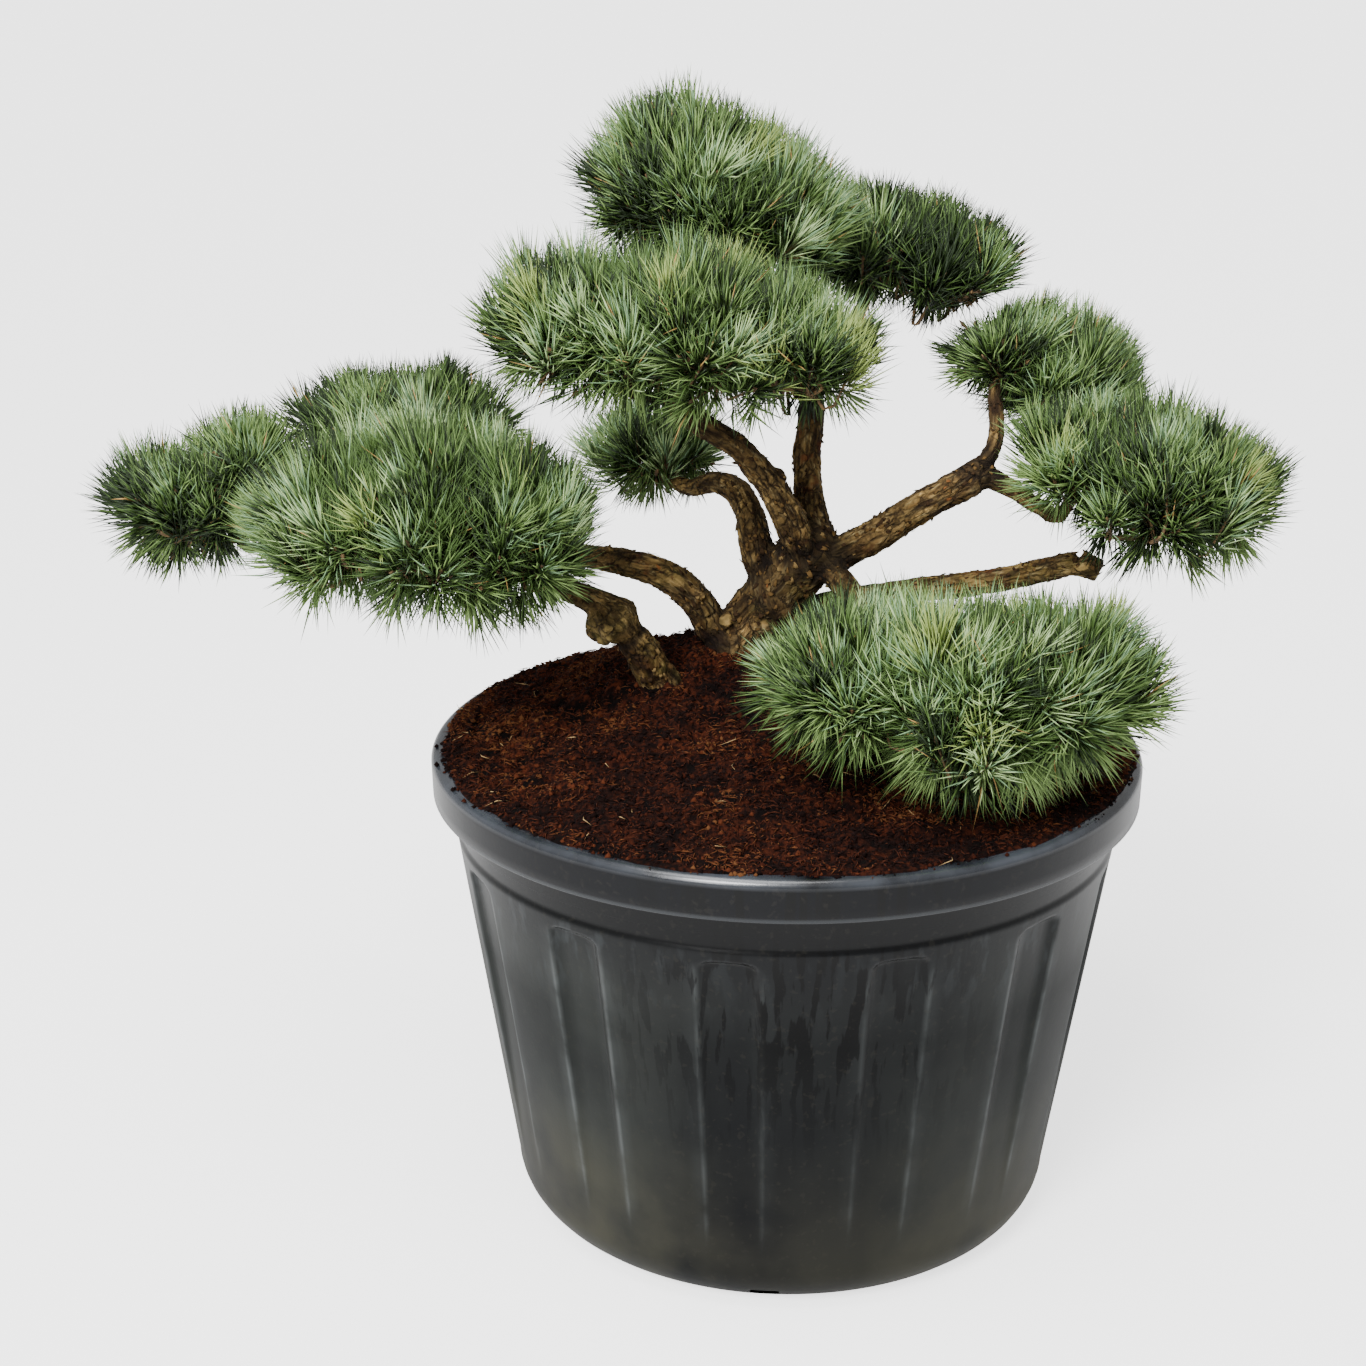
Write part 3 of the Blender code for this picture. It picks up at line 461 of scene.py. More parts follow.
def tube_along(bm, line, radii, sides):
    """A closed tube of circles bridged one to the next."""
    rings = [circle_ring(bm, *place, radius, sides) for place, radius in zip(frames_along(line), radii)]
    for (_, lower), (_, upper) in zip(rings, rings[1:]):
        bmesh.ops.bridge_loops(bm, edges=lower + upper)
    for verts, _ in (rings[0], rings[-1]):
        bmesh.ops.contextual_create(bm, geom=verts)


def stub(bm, foot, tip, radius):
    """A pruned branch end: a short stout tube with a blunt cut."""
    foot, tip = Vector(foot), Vector(tip)
    line = [foot, foot.lerp(tip, 0.5), foot.lerp(tip, 0.9), tip]
    tube_along(bm, line, [radius * 1.25, radius * 1.02, radius, radius * 0.86], STUB_SIDES)


STUBS = (
    ((0.020, 0.098, 0.718), (0.020, 0.074, 0.727), 0.0085),
    ((-0.014, 0.024, 0.740), (-0.008, 0.014, 0.749), 0.0100),
    ((-0.028, 0.018, 0.748), (-0.020, 0.012, 0.758), 0.0090),
    ((-0.003, 0.074, 0.590), (0.014, 0.048, 0.583), 0.0100),
    ((0.286, 0.049, 0.655), (0.306, 0.044, 0.648), 0.0120),
    ((0.176, 0.050, 0.738), (0.178, 0.036, 0.728), 0.0075),
    ((-0.062, 0.000, 0.786), (-0.064, -0.014, 0.793), 0.0060),
    ((-0.092, 0.062, 0.610), (-0.086, 0.048, 0.618), 0.0065),
    ((-0.052, 0.062, 0.585), (-0.062, 0.046, 0.592), 0.0080),
    ((0.130, 0.048, 0.710), (0.132, 0.036, 0.722), 0.0055),
    ((-0.166, -0.029, 0.615), (-0.182, -0.050, 0.607), 0.0190),
)

bm = bmesh.new()
for name, line in LINES.items():
    tube_along(bm, line, RADII[name], TUBE_SIDES)
for foot, tip, radius in STUBS:
    stub(bm, foot, tip, radius)
bmesh.ops.recalc_face_normals(bm, faces=bm.faces)
limb_mesh = bpy.data.meshes.new("limbs_rough")
bm.to_mesh(limb_mesh)
bm.free()
rough = placed("limbs_rough", limb_mesh)
remesh = rough.modifiers.new("melt", "REMESH")
remesh.mode = "VOXEL"
remesh.voxel_size = BARK_VOXEL
melted = modified_mesh(rough)
bpy.data.objects.remove(rough, do_unlink=True)

bm = bmesh.new()
bm.from_mesh(melted)
for _ in range(SMOOTHING_PASSES):
    bmesh.ops.smooth_vert(bm, verts=bm.verts, factor=0.5, use_axis_x=True, use_axis_y=True, use_axis_z=True)
print("melted limbs", len(bm.faces), "faces")

# %% [markdown]
# Scots pine bark breaks into scaly plates that run along the limb, with dark furrows between them.
# Every point of the skin is given its place along and round its own limb, and cell noise in those two
# directions draws the plates. The callused knob has a fold round its lower side. The same numbers push
# the skin in and out and are kept as attributes, so colour follows the relief, and the crotches where
# limbs meet and the knob's fold are painted dark as shade.

# %% Bark relief
PLATE_SIZE = 0.0120
SCALE_SIZE = 0.0050
PLATE_STRETCH = 0.32
FIBRE_STRETCH = 0.12
CRACK_WIDTH = 0.16
CRACK_DEPTH = 0.0014
PLATE_RISE = 0.0012
SCALE_RISE = 0.0004
FIBRE_RISE = 0.00060
GRIT_RISE = 0.00035
LUMP_SHARE = 0.10
BURIED_DEPTH = 0.016
KNOB_CREASE = 0.0285
CREASE_WIDTH = 0.0045
CREASE_DEPTH = 0.0032
CREASE_SIDE = np.array((0.66, 0.30, -0.69))
KNOB_PALE = 0.026
CROTCH_REACH = 0.024
FAR = 9.0


def gap_to_limb(points, name):
    """Distance from each point to one limb's smooth bark."""
    path, sizes = np.array(LINES[name]), np.array(RADII[name])
    best = np.full(len(points), FAR)
    for k in range(len(path) - 1):
        leg = path[k + 1] - path[k]
        share = np.clip((points - path[k]) @ leg / (leg @ leg), 0.0, 1.0)
        gap = np.linalg.norm(points - path[k] - share[:, None] * leg, axis=1)
        best = np.minimum(best, gap - sizes[k] - (sizes[k + 1] - sizes[k]) * share)
    return best


def crotch_shade(points):
    """1 where two limbs meet, 0 away from any second limb."""
    gaps = np.sort(np.stack([gap_to_limb(points, name) for name in LIMBS]), axis=0)
    return 1.0 - ease(0.001, CROTCH_REACH, gaps[1])


def knob_crease(points):
    """1 in the fold round the knob's lower side, where the bough grows out from under it."""
    away = np.linalg.norm(points - np.array(KNOB), axis=1)
    below = ease(-0.004, 0.010, (points - np.array(KNOB)) @ CREASE_SIDE)
    return np.exp(-((away - KNOB_CREASE) / CREASE_WIDTH) ** 2) * below


samples = []
for name, line in LINES.items():
    for (point, forward, across), radius, length in zip(frames_along(line), RADII[name], lengths_along(line)):
        samples.append((point, forward, across, forward.cross(across), radius, length))
tree = KDTree(len(samples))
for k, sample in enumerate(samples):
    tree.insert(sample[0], k)
tree.balance()

skin = np.array([vert.co for vert in bm.verts])
bm.normal_update()
skin_normals = np.array([vert.normal for vert in bm.verts])
owners = np.array([tree.find(vert.co)[1] for vert in bm.verts])
columns = [np.array(column)[owners] for column in zip(*samples)]
sample_points, forwards, acrosses, sides, limb_sizes, alongs = columns
offsets = skin - sample_points
along = alongs + np.einsum("ij,ij->i", offsets, forwards)
round_x = np.einsum("ij,ij->i", offsets, acrosses)
round_y = np.einsum("ij,ij->i", offsets, sides)
spread = np.maximum(np.hypot(round_x, round_y), 1e-6)
round_way = np.stack([round_x / spread * limb_sizes, round_y / spread * limb_sizes], axis=1)
on_limb = np.column_stack([round_way, along * PLATE_STRETCH])
on_fibre = np.column_stack([round_way, along * FIBRE_STRETCH])
wander = layered_noise(skin / 0.009, 2, 5)[:, None]

border, plate_tone = cell_noise(on_limb / PLATE_SIZE + wander * 0.55, 11)
scale_border, scale_tone = cell_noise(on_limb / SCALE_SIZE + wander * 0.40, 23)
cracks = 1.0 - ease(0.0, CRACK_WIDTH, border)
cracks *= ease(-0.25, 0.35, layered_noise(skin / 0.016, 2, 51))
scales = ease(0.02, 0.34, scale_border)
fibres_along = layered_noise(on_fibre / 0.0022, 2, 61)
lumps = layered_noise(skin / 0.022, 2, 31)
grit = layered_noise(skin / 0.0034, 2, 37)
strength = np.clip(limb_sizes / 0.016, 0.45, 1.25)
rise = strength * (-CRACK_DEPTH * cracks + PLATE_RISE * (plate_tone - 0.5) + SCALE_RISE * (scales - 0.6)
                   + SCALE_RISE * (scale_tone - 0.5) * scales + FIBRE_RISE * fibres_along + GRIT_RISE * grit)
rise += LUMP_SHARE * limb_sizes * lumps - CREASE_DEPTH * knob_crease(skin)
moved = skin + skin_normals * rise[:, None]
moved[:, 2] = np.maximum(moved[:, 2], GROUND_LEVEL - BURIED_DEPTH)
for vert, place in zip(bm.verts, moved):
    vert.co = place
bm.to_mesh(melted)
bm.free()
# Where limbs meet and in the knob's fold, the bark is painted dark as shade.
painted_crotch_shade = np.maximum(crotch_shade(moved), knob_crease(moved))
surface_tone = 0.5 + 0.26 * (scale_tone - 0.5) + 0.40 * fibres_along + 0.40 * (plate_tone - 0.5)
surface_tone += 0.60 * np.exp(-(np.linalg.norm(moved - np.array(KNOB), axis=1) / KNOB_PALE) ** 2)
crack_shade = np.maximum(cracks, 0.45 * (1.0 - scales))
for label, values in (("crack", crack_shade), ("tone", surface_tone), ("painted_crotch_shade", painted_crotch_shade)):
    attribute = melted.attributes.new(label, "FLOAT", "POINT")
    attribute.data.foreach_set("value", values.astype(np.float32))
attribute = melted.attributes.new("lengthwise", "FLOAT_VECTOR", "POINT")
attribute.data.foreach_set("vector", np.column_stack([round_way, along]).astype(np.float32).ravel())
print("bark rise mm", round(rise.min() * 1000, 2), round(rise.max() * 1000, 2))

# %% [markdown]
# A material is built from masks, each laying one more coat over the colour below it. The soft masks all
# come from noise, and bark, twigs, pot and soil need them, so a small node group makes one from a place,
# a scale and two limits. A class with short names keeps the trees of nodes readable.

# %% Patch mask group
def new_group(name, inputs, outputs):
    """A shader node group with named sockets."""
    group = bpy.data.node_groups.new(name, "ShaderNodeTree")
    for label, kind, value in inputs:
        socket = group.interface.new_socket(name=label, in_out="INPUT", socket_type=kind)
        if value is not None:
            socket.default_value = value
    for label, kind in outputs:
        group.interface.new_socket(name=label, in_out="OUTPUT", socket_type=kind)
    return group, group.nodes.new("NodeGroupInput"), group.nodes.new("NodeGroupOutput")


patch_group, entry, leave = new_group(
    "patch_mask",
    (("Place", "NodeSocketVector", None), ("Scale", "NodeSocketFloat", 20.0),
     ("Detail", "NodeSocketFloat", 4.0), ("Low", "NodeSocketFloat", 0.45), ("High", "NodeSocketFloat", 0.60)),
    (("Mask", "NodeSocketFloat"),))
noise_node = patch_group.nodes.new("ShaderNodeTexNoise")
range_node = patch_group.nodes.new("ShaderNodeMapRange")
for source, target in ((entry.outputs["Place"], noise_node.inputs["Vector"]),
                       (entry.outputs["Scale"], noise_node.inputs["Scale"]),
                       (entry.outputs["Detail"], noise_node.inputs["Detail"]),
                       (noise_node.outputs["Fac"], range_node.inputs["Value"]),
                       (entry.outputs["Low"], range_node.inputs["From Min"]),
                       (entry.outputs["High"], range_node.inputs["From Max"]),
                       (range_node.outputs["Result"], leave.inputs["Mask"])):
    patch_group.links.new(source, target)


class Nodes:
    """Short names for building one material's node tree."""

    def __init__(self, name, roughness=0.6):
        self.material = bpy.data.materials.new(name)
        self.material.use_nodes = True
        self.tree = self.material.node_tree
        self.shader = self.tree.nodes["Principled BSDF"]
        self.shader.inputs["Roughness"].default_value = roughness
        self.place = self.tree.nodes.new("ShaderNodeTexCoord").outputs["Object"]

    def link(self, source, target):
        """Join an output to an input."""
        self.tree.links.new(source, target)

    def node(self, kind, values=()):
        """A new node, with some of its inputs set by name."""
        node = self.tree.nodes.new(kind)
        for label, value in values:
            node.inputs[label].default_value = value
        return node

    def patch(self, scale, low, high, detail=4.0, place=None):
        """Soft patches of noise: 0 below low, 1 above high."""
        node = self.node("ShaderNodeGroup")
        node.node_tree = patch_group
        self.link(place or self.place, node.inputs["Place"])
        for label, value in (("Scale", scale), ("Detail", detail), ("Low", low), ("High", high)):
            node.inputs[label].default_value = value
        return node.outputs["Mask"]

    def stretched(self, scale, place=None):
        """A place scaled differently along each axis."""
        node = self.node("ShaderNodeMapping", (("Scale", scale),))
        self.link(place or self.place, node.inputs["Vector"])
        return node.outputs["Vector"]

    def streaks(self, scale, low, high, detail, place=None):
        """Patches drawn out along the axis of the smallest scale."""
        return self.patch(1.0, low, high, detail, self.stretched(scale, place))

    def wobbled(self, place, scale, reach):
        """A place bent by noise, so that borders drawn there wander."""
        noise = self.node("ShaderNodeTexNoise", (("Scale", scale),))
        self.link(place, noise.inputs["Vector"])
        node = self.node("ShaderNodeVectorMath")
        node.operation = "MULTIPLY_ADD"
        self.link(noise.outputs["Color"], node.inputs[0])
        node.inputs[1].default_value = (reach, reach, reach)
        self.link(place, node.inputs[2])
        return node.outputs["Vector"]

    def plates(self, place, width):
        """Cracks between cells, and one random value for each cell."""
        edges = self.node("ShaderNodeTexVoronoi", (("Scale", 1.0),))
        edges.feature = "DISTANCE_TO_EDGE"
        cells = self.node("ShaderNodeTexVoronoi", (("Scale", 1.0),))
        for node in (edges, cells):
            self.link(place, node.inputs["Vector"])
        crack = self.node("ShaderNodeMapRange", (("From Max", width), ("To Min", 1.0), ("To Max", 0.0)))
        self.link(edges.outputs["Distance"], crack.inputs["Value"])
        split = self.node("ShaderNodeSeparateColor")
        self.link(cells.outputs["Color"], split.inputs["Color"])
        return crack.outputs["Result"], split.outputs["Red"]

    def attribute(self, label, output="Fac"):
        """A number or vector stored on the mesh."""
        node = self.node("ShaderNodeAttribute")
        node.attribute_name = label
        return node.outputs[output]

    def along(self, axis, low, high):
        """0 at low and 1 at high along one axis; low may be the larger."""
        split = self.node("ShaderNodeSeparateXYZ")
        self.link(self.place, split.inputs["Vector"])
        node = self.node("ShaderNodeMapRange", (("From Min", low), ("From Max", high)))
        self.link(split.outputs[axis], node.inputs["Value"])
        return node.outputs["Result"]

    def height(self, low, high):
        """0 at height low and 1 at height high."""
        return self.along("Z", low, high)

    def mix(self, mask, first, second):
        """The first colour where the mask is 0, the second where it is 1."""
        node = self.node("ShaderNodeMix")
        node.data_type = "RGBA"
        self.link(mask, node.inputs["Factor"])
        for value, socket in ((first, node.inputs[6]), (second, node.inputs[7])):
            if isinstance(value, tuple):
                socket.default_value = value
            else:
                self.link(value, socket)
        return node.outputs[2]

    def math(self, kind, first, second):
        """One sum on masks or numbers, kept between 0 and 1."""
        node = self.node("ShaderNodeMath")
        node.operation = kind
        node.use_clamp = True
        for value, socket in zip((first, second), node.inputs):
            if isinstance(value, (int, float)):
                socket.default_value = value
            else:
                self.link(value, socket)
        return node.outputs["Value"]

    def times(self, first, second):
        """Product of two masks, or of a mask and a number."""
        return self.math("MULTIPLY", first, second)

    def coated(self, colour, coats):
        """A colour under coats laid one over the other, each given as mask, strength and colour."""
        for mask, strength, coat in coats:
            colour = self.mix(self.times(mask, strength), colour, coat)
        return colour

    def bump(self, height, strength, distance):
        """Shade the surface as if it rose by the height."""
        node = self.node("ShaderNodeBump", (("Strength", strength), ("Distance", distance)))
        self.link(height, node.inputs["Height"])
        self.link(node.outputs["Normal"], self.shader.inputs["Normal"])

    def range(self, mask, low, high, target):
        """Drive one of the shader's values from low to high by a mask."""
        node = self.node("ShaderNodeMapRange", (("To Min", low), ("To Max", high)))
        self.link(mask, node.inputs["Value"])
        self.link(node.outputs["Result"], self.shader.inputs[target])


print("mask group inputs", len(entry.outputs) - 1)

# %% [markdown]
# The bark is grey-brown and olive, pale on its ridges and dark in its furrows, orange where a flake has
# come off, filmed with algae low on the trunk and red at its foot. Furrows and ridges run lengthwise, so
# their noise reads the attribute that holds each point's place round and along its limb, drawn out along
# it. Cells bent by noise draw the fine plates: some pale, some dark, with dark cracks between them. High
# under the domes, in the crotches and in the knob's fold, shade is painted dark into the colour.

# %% Bark finish
bark = Nodes("scots_pine_bark", 0.85)
bark.shader.inputs["Specular IOR Level"].default_value = 0.2
limb_place = bark.attribute("lengthwise", "Vector")
fissures = bark.streaks((170.0, 170.0, 26.0), 0.50, 0.64, 5.0, limb_place)
ridges = bark.streaks((310.0, 310.0, 60.0), 0.50, 0.66, 5.0, limb_place)
flakes = bark.streaks((95.0, 95.0, 42.0), 0.44, 0.60, 3.0, limb_place)
mottle = bark.streaks((74.0, 74.0, 36.0), 0.50, 0.59, 4.0, limb_place)
algae = bark.times(bark.height(0.74, 0.60), bark.patch(22.0, 0.42, 0.60))
red_foot = bark.times(bark.height(0.605, 0.565), bark.patch(34.0, 0.38, 0.60))
plate_place = bark.stretched((128.0, 128.0, 62.0), bark.wobbled(limb_place, 150.0, 0.006))
plate_cracks, plate_number = bark.plates(plate_place, 0.16)
broken = bark.times(plate_cracks, bark.patch(30.0, 0.36, 0.56))
pale_plates = bark.times(bark.math("GREATER_THAN", plate_number, 0.70), 0.24)
dark_plates = bark.math("LESS_THAN", plate_number, 0.26)
ground = bark.mix(bark.attribute("tone"), linear(80, 57, 28), linear(196, 162, 102))
bark_colour = bark.coated(ground, (
    (bark.patch(26.0, 0.42, 0.66), 0.6, linear(104, 76, 42)),
    (ridges, flakes, linear(206, 182, 128)),
    (fissures, 0.90, linear(34, 22, 11)),
    (bark.patch(60.0, 0.56, 0.66), bark.patch(13.0, 0.50, 0.60), linear(120, 72, 42)),
    (algae, 0.55, linear(76, 78, 28)),
    (red_foot, 0.7, linear(92, 38, 18)),
    (mottle, 0.55, linear(40, 27, 14)),
    (bark.patch(17.0, 0.50, 0.62, 6.0), 0.55, linear(38, 25, 13)),
    # Above 0.735 the bark is painted dark as shade under the domes.
    (bark.height(0.735, 0.80), 0.65, linear(34, 22, 12)),
    (pale_plates, bark.height(0.80, 0.72), linear(168, 138, 88)),
    (dark_plates, 0.38, linear(44, 29, 15)),
    (broken, 0.70, linear(22, 14, 7)),
    (bark.attribute("crack"), 0.85, linear(24, 15, 7)),
    # Crotches and the knob's fold: painted shade.
    (bark.attribute("painted_crotch_shade"), 0.85, linear(18, 11, 6))))
bark.link(bark_colour, bark.shader.inputs["Base Color"])
grooves = bark.math("SUBTRACT", 1.0, bark.math("MAXIMUM", fissures, broken))
bark.bump(bark.math("ADD", bark.times(grooves, 0.7), bark.times(ridges, 0.3)), 1.0, 0.0026)
melted.shade_smooth()
limbs = add_piece("limbs_with_bark", melted, [bark.material], tuple(LIMBS))
print("limbs", triangle_count(limbs), "triangles")

# %% [markdown]
# Old scales lift at their lower edge before they fall, so a limb's outline is ragged. They are small
# bent chips laid on the bark where a random choice of its points lies, each with two faces above and
# two below, in pale, brown and dark tones. The smooth callus of the knob stays free of them.

# %% Lifted scales
CHIPS = 2600
CHIP_FREE = 0.034
CHIP_LENGTHS = (0.0030, 0.0080)
CHIP_WIDTHS = (0.0008, 0.0020)
CHIP_LIFTS = (0.0003, 0.0014)
CHIP_THICKNESS = 0.0006
CHIP_FACES = ((0, 1, 3, 2), (2, 3, 5, 4), (1, 0, 6, 7), (7, 6, 4, 5))
CHIP_SHARES = (0.08, 0.42, 0.48, 0.02)
CHIP_TONES = [plain_finish(name, colour, 0.9, 0.25) for name, colour in (
    ("chip_pale", linear(114, 93, 58)), ("chip_brown", linear(88, 67, 37)),
    ("chip_dark", linear(50, 35, 18)), ("chip_orange", linear(112, 72, 38)))]


def chips_mesh():
    """Thin wedges with a raised outer edge."""
    rng = np.random.default_rng(SEED + 9)
    pick = rng.choice(len(moved), CHIPS, replace=False)
    on_knob = np.linalg.norm(moved[pick] - np.array(KNOB), axis=1) < CHIP_FREE
    pick = pick[(moved[pick, 2] > GROUND_LEVEL + 0.004) & ~on_knob]
    total = len(pick)
    up = unit_rows(skin_normals[pick])
    way = forwards[pick] * rng.choice((-1.0, 1.0), total)[:, None]
    way = unit_rows(way + rng.normal(0.0, 0.35, (total, 3)))
    way = unit_rows(way - up * np.einsum("ij,ij->i", way, up)[:, None])
    side = np.cross(up, way)
    size = (0.55 + 0.75 * np.clip(limb_sizes[pick] / 0.02, 0.3, 1.3))[:, None]
    long = rng.uniform(*CHIP_LENGTHS, total)[:, None] * size
    wide = rng.uniform(*CHIP_WIDTHS, total)[:, None] * size
    lift = rng.uniform(*CHIP_LIFTS, total)[:, None] * size
    thick = up * CHIP_THICKNESS
    foot = moved[pick] - thick
    middle, end = foot + way * long * 0.5 + up * lift * 0.7, foot + way * long + up * lift * 1.6
    waist, tip = side * wide * 0.9, side * wide * 0.35
    points = np.stack([foot - side * wide, foot + side * wide,
                       middle - waist + thick, middle + waist + thick, end - tip, end + tip,
                       middle - waist - thick * 0.4, middle + waist - thick * 0.4], axis=1)
    tone = rng.choice(len(CHIP_TONES), size=total, p=CHIP_SHARES)
    return repeated_mesh("bark_chips", points, CHIP_FACES, tone)


chips = add_piece("bark_chips", chips_mesh(), CHIP_TONES, tuple(LIMBS))
print("chips", triangle_count(chips), "triangles")

# %% [markdown]
# Needles may only stand inside their own dome's lobes, above the soil, clear of the limbs and nearer
# to their own dome than to any other: that keeps the sky gaps between the domes open. The lobes of a
# dome are blended into one outline, so that it has no notches.

# %% The domes' space
LOBE_BLEND = 3.6
BOX_MARGIN = 0.08
POT_HEIGHT = 0.483
RIM_RADIUS = 0.350
SOIL_EDGE_HEIGHT = 0.479
SOIL_RADIUS = 0.3305
SOIL_SHOULDER = 0.013
SOIL_MOUND = 0.064
SOIL_MOUND_CENTRE = (-0.060, 0.060)
SOIL_MOUND_SPREAD = 0.165


def soil_height(x, y):
    """Height of the heaped soil."""
    away = np.hypot(x - SOIL_MOUND_CENTRE[0], y - SOIL_MOUND_CENTRE[1])
    heap = SOIL_MOUND * np.exp(-(away / SOIL_MOUND_SPREAD) ** 2)
    rim = np.minimum(1.0, np.hypot(x, y) / SOIL_RADIUS)
    return SOIL_EDGE_HEIGHT + (SOIL_SHOULDER + heap) * (1.0 - rim ** 7)


def blended_share(points, lobes):
    """For each point, 0 in a lobe's middle and 1 on the outline, blended from lobe to lobe."""
    total = np.zeros(len(points))
    for centre, half in lobes:
        total += np.exp(-LOBE_BLEND * np.linalg.norm((points - np.array(centre)) / np.array(half), axis=1))
    return -np.log(total + 1e-300) / LOBE_BLEND


def outline_share(points, name):
    """Share of a mass's outline, 1 on it, with the notches between its lobes filled."""
    return blended_share(points, MASSES[name][1])


def distances_to_limbs(points):
    """Distance from each point to the nearest limb's bark, where that limb is anywhere near."""
    best = np.full(len(points), FAR)
    for name, line in LINES.items():
        path = np.array(line)
        low, high = path.min(0) - BOX_MARGIN, path.max(0) + BOX_MARGIN
        near = np.where(np.all((points > low) & (points < high), axis=1))[0]
        if len(near):
            best[near] = np.minimum(best[near], gap_to_limb(points[near], name))
    return best


def own_space(points, name, outline=1.0):
    """Which points a mass may fill."""
    own = outline_share(points, name)
    free = own <= outline
    for other in MASSES:
        if other != name:
            free &= outline_share(points, other) > own + 0.02
    over_pot = np.hypot(points[:, 0], points[:, 1]) < RIM_RADIUS + 0.004
    floor = np.maximum(soil_height(points[:, 0], points[:, 1]), POT_HEIGHT) + 0.010
    free &= ~over_pot | (points[:, 2] > floor)
    return free & (distances_to_limbs(points) > 0.002)


print("lobes", sum(len(lobes) for _, lobes in MASSES.values()))

# %% [markdown]
# A Scots pine shoot is a bottle brush: pairs of stiff needles all round the last few centimetres of a
# twig, wide open at its foot and closing towards the bud. A dome carries from about thirty to two
# hundred of them, two centimetres apart, so that every brush still shows; the rear dome is thinner, and
# the undersides are barer. Their tips lie at uneven depths inside the outline, and each points out of
# the dome and up to the light. The way out of a dome of several lobes is read from a field that blends
# the lobes, so the brushes fan along the whole dome and not round each lobe's own centre.

# %% Where the shoots stand
NEEDLE_LENGTH = 0.066
SHOOT_LENGTH = 0.050
SHOOT_SPACING = 0.0212
THIN = {"foliage_rear": 1.22}
SHOOT_SPREAD = 0.62
SHOOT_HEIGHT = 0.56
SHOOT_DROP = 0.06
CORE_BARE = 0.34
UNDERSIDE = -0.35
UNDERSIDE_BARE = 0.48
UPWARD = 0.98
TRIES = 20000
GOLDEN_TURN = math.pi * (3.0 - math.sqrt(5.0))


def inner_lobes(name):
    """The lobes drawn in and lowered by the room that the upward needles take."""
    shrink = np.array((SHOOT_SPREAD, SHOOT_SPREAD, SHOOT_HEIGHT))
    drop = np.array((0.0, 0.0, SHOOT_DROP))
    return [(np.array(centre) - drop * half, np.array(half) * shrink) for centre, half in MASSES[name][1]]


def ways_out(points, lobes):
    """Unit direction in which the blended share grows fastest."""
    step = 0.002
    here = blended_share(points, lobes)
    slope = [blended_share(points + np.eye(3)[axis] * step, lobes) - here for axis in range(3)]
    return unit_rows(np.stack(slope, axis=1))


def spaced(points, spacing):
    """The points that keep their distance from all kept before them."""
    kept = []
    cells = {}
    for k, point in enumerate(points):
        key = tuple(np.floor(point / spacing).astype(int))
        close = False
        for shift in np.ndindex(3, 3, 3):
            for other in cells.get((key[0] + shift[0] - 1, key[1] + shift[1] - 1, key[2] + shift[2] - 1), ()):
                if np.linalg.norm(points[other] - point) < spacing:
                    close = True
        if not close:
            kept.append(k)
            cells.setdefault(key, []).append(k)
    return np.array(kept)


def shoots_of_mass(name):
    """Foot and direction of each shoot of one mass."""
    rng = np.random.default_rng(SEED + len(name) * 17 + len(MASSES[name][1]))
    lobes = inner_lobes(name)
    low = np.min([centre - half for centre, half in lobes], axis=0) - 0.01
    high = np.max([centre + half for centre, half in lobes], axis=0) + 0.01
    tips = rng.uniform(low, high, (TRIES, 3))
    depth = blended_share(tips, lobes)
    ragged = 1.0 + 0.20 * layered_noise(tips / 0.050, 2, 71)
    tips = tips[(depth < ragged * rng.uniform(0.85, 1.10, len(tips))) & (depth > CORE_BARE)]
    tips = tips[spaced(tips, SHOOT_SPACING * THIN.get(name, 1.0))]
    out = ways_out(tips, MASSES[name][1])
    under = (out[:, 2] < UNDERSIDE) & (rng.random(len(tips)) < UNDERSIDE_BARE)
    tips, out = tips[~under], out[~under]
    lift = UPWARD * ease(-0.85, -0.20, out[:, 2])[:, None]
    way = unit_rows(out + np.array((0.0, 0.0, 1.0)) * lift + rng.normal(0.0, 0.30, (len(tips), 3)))
    length = SHOOT_LENGTH * rng.uniform(0.7, 1.15, len(tips))
    feet, ways = tips - way * length[:, None], way * length[:, None]
    free = own_space(tips, name, 1.02) & (distances_to_limbs(feet) > 0.0)
    return feet[free], ways[free]


SHOOTS = {name: shoots_of_mass(name) for name in MASSES}
print("shoots", {name: len(feet) for name, (feet, _) in SHOOTS.items()})

# %% [markdown]
# Main twigs fan out from the stems, low in the dome, and every shoot is joined to the nearest point of
# one by a side twig that bends up into it and ends in a plump bud. Seen from below, that fan of brown
# twigs is what carries the needles.

# %% Twigs
MAIN_TWIGS = 9
MAIN_TWIG_RADII = (0.0042, 0.0020)
TWIG_SIDES = 5
SIDE_TWIG_SIDES = 4
SIDE_TWIG_RADII = (0.0018, 0.0017, 0.0015, 0.0011, 0.0024, 0.0004)
FROM_ABOVE = 0.3


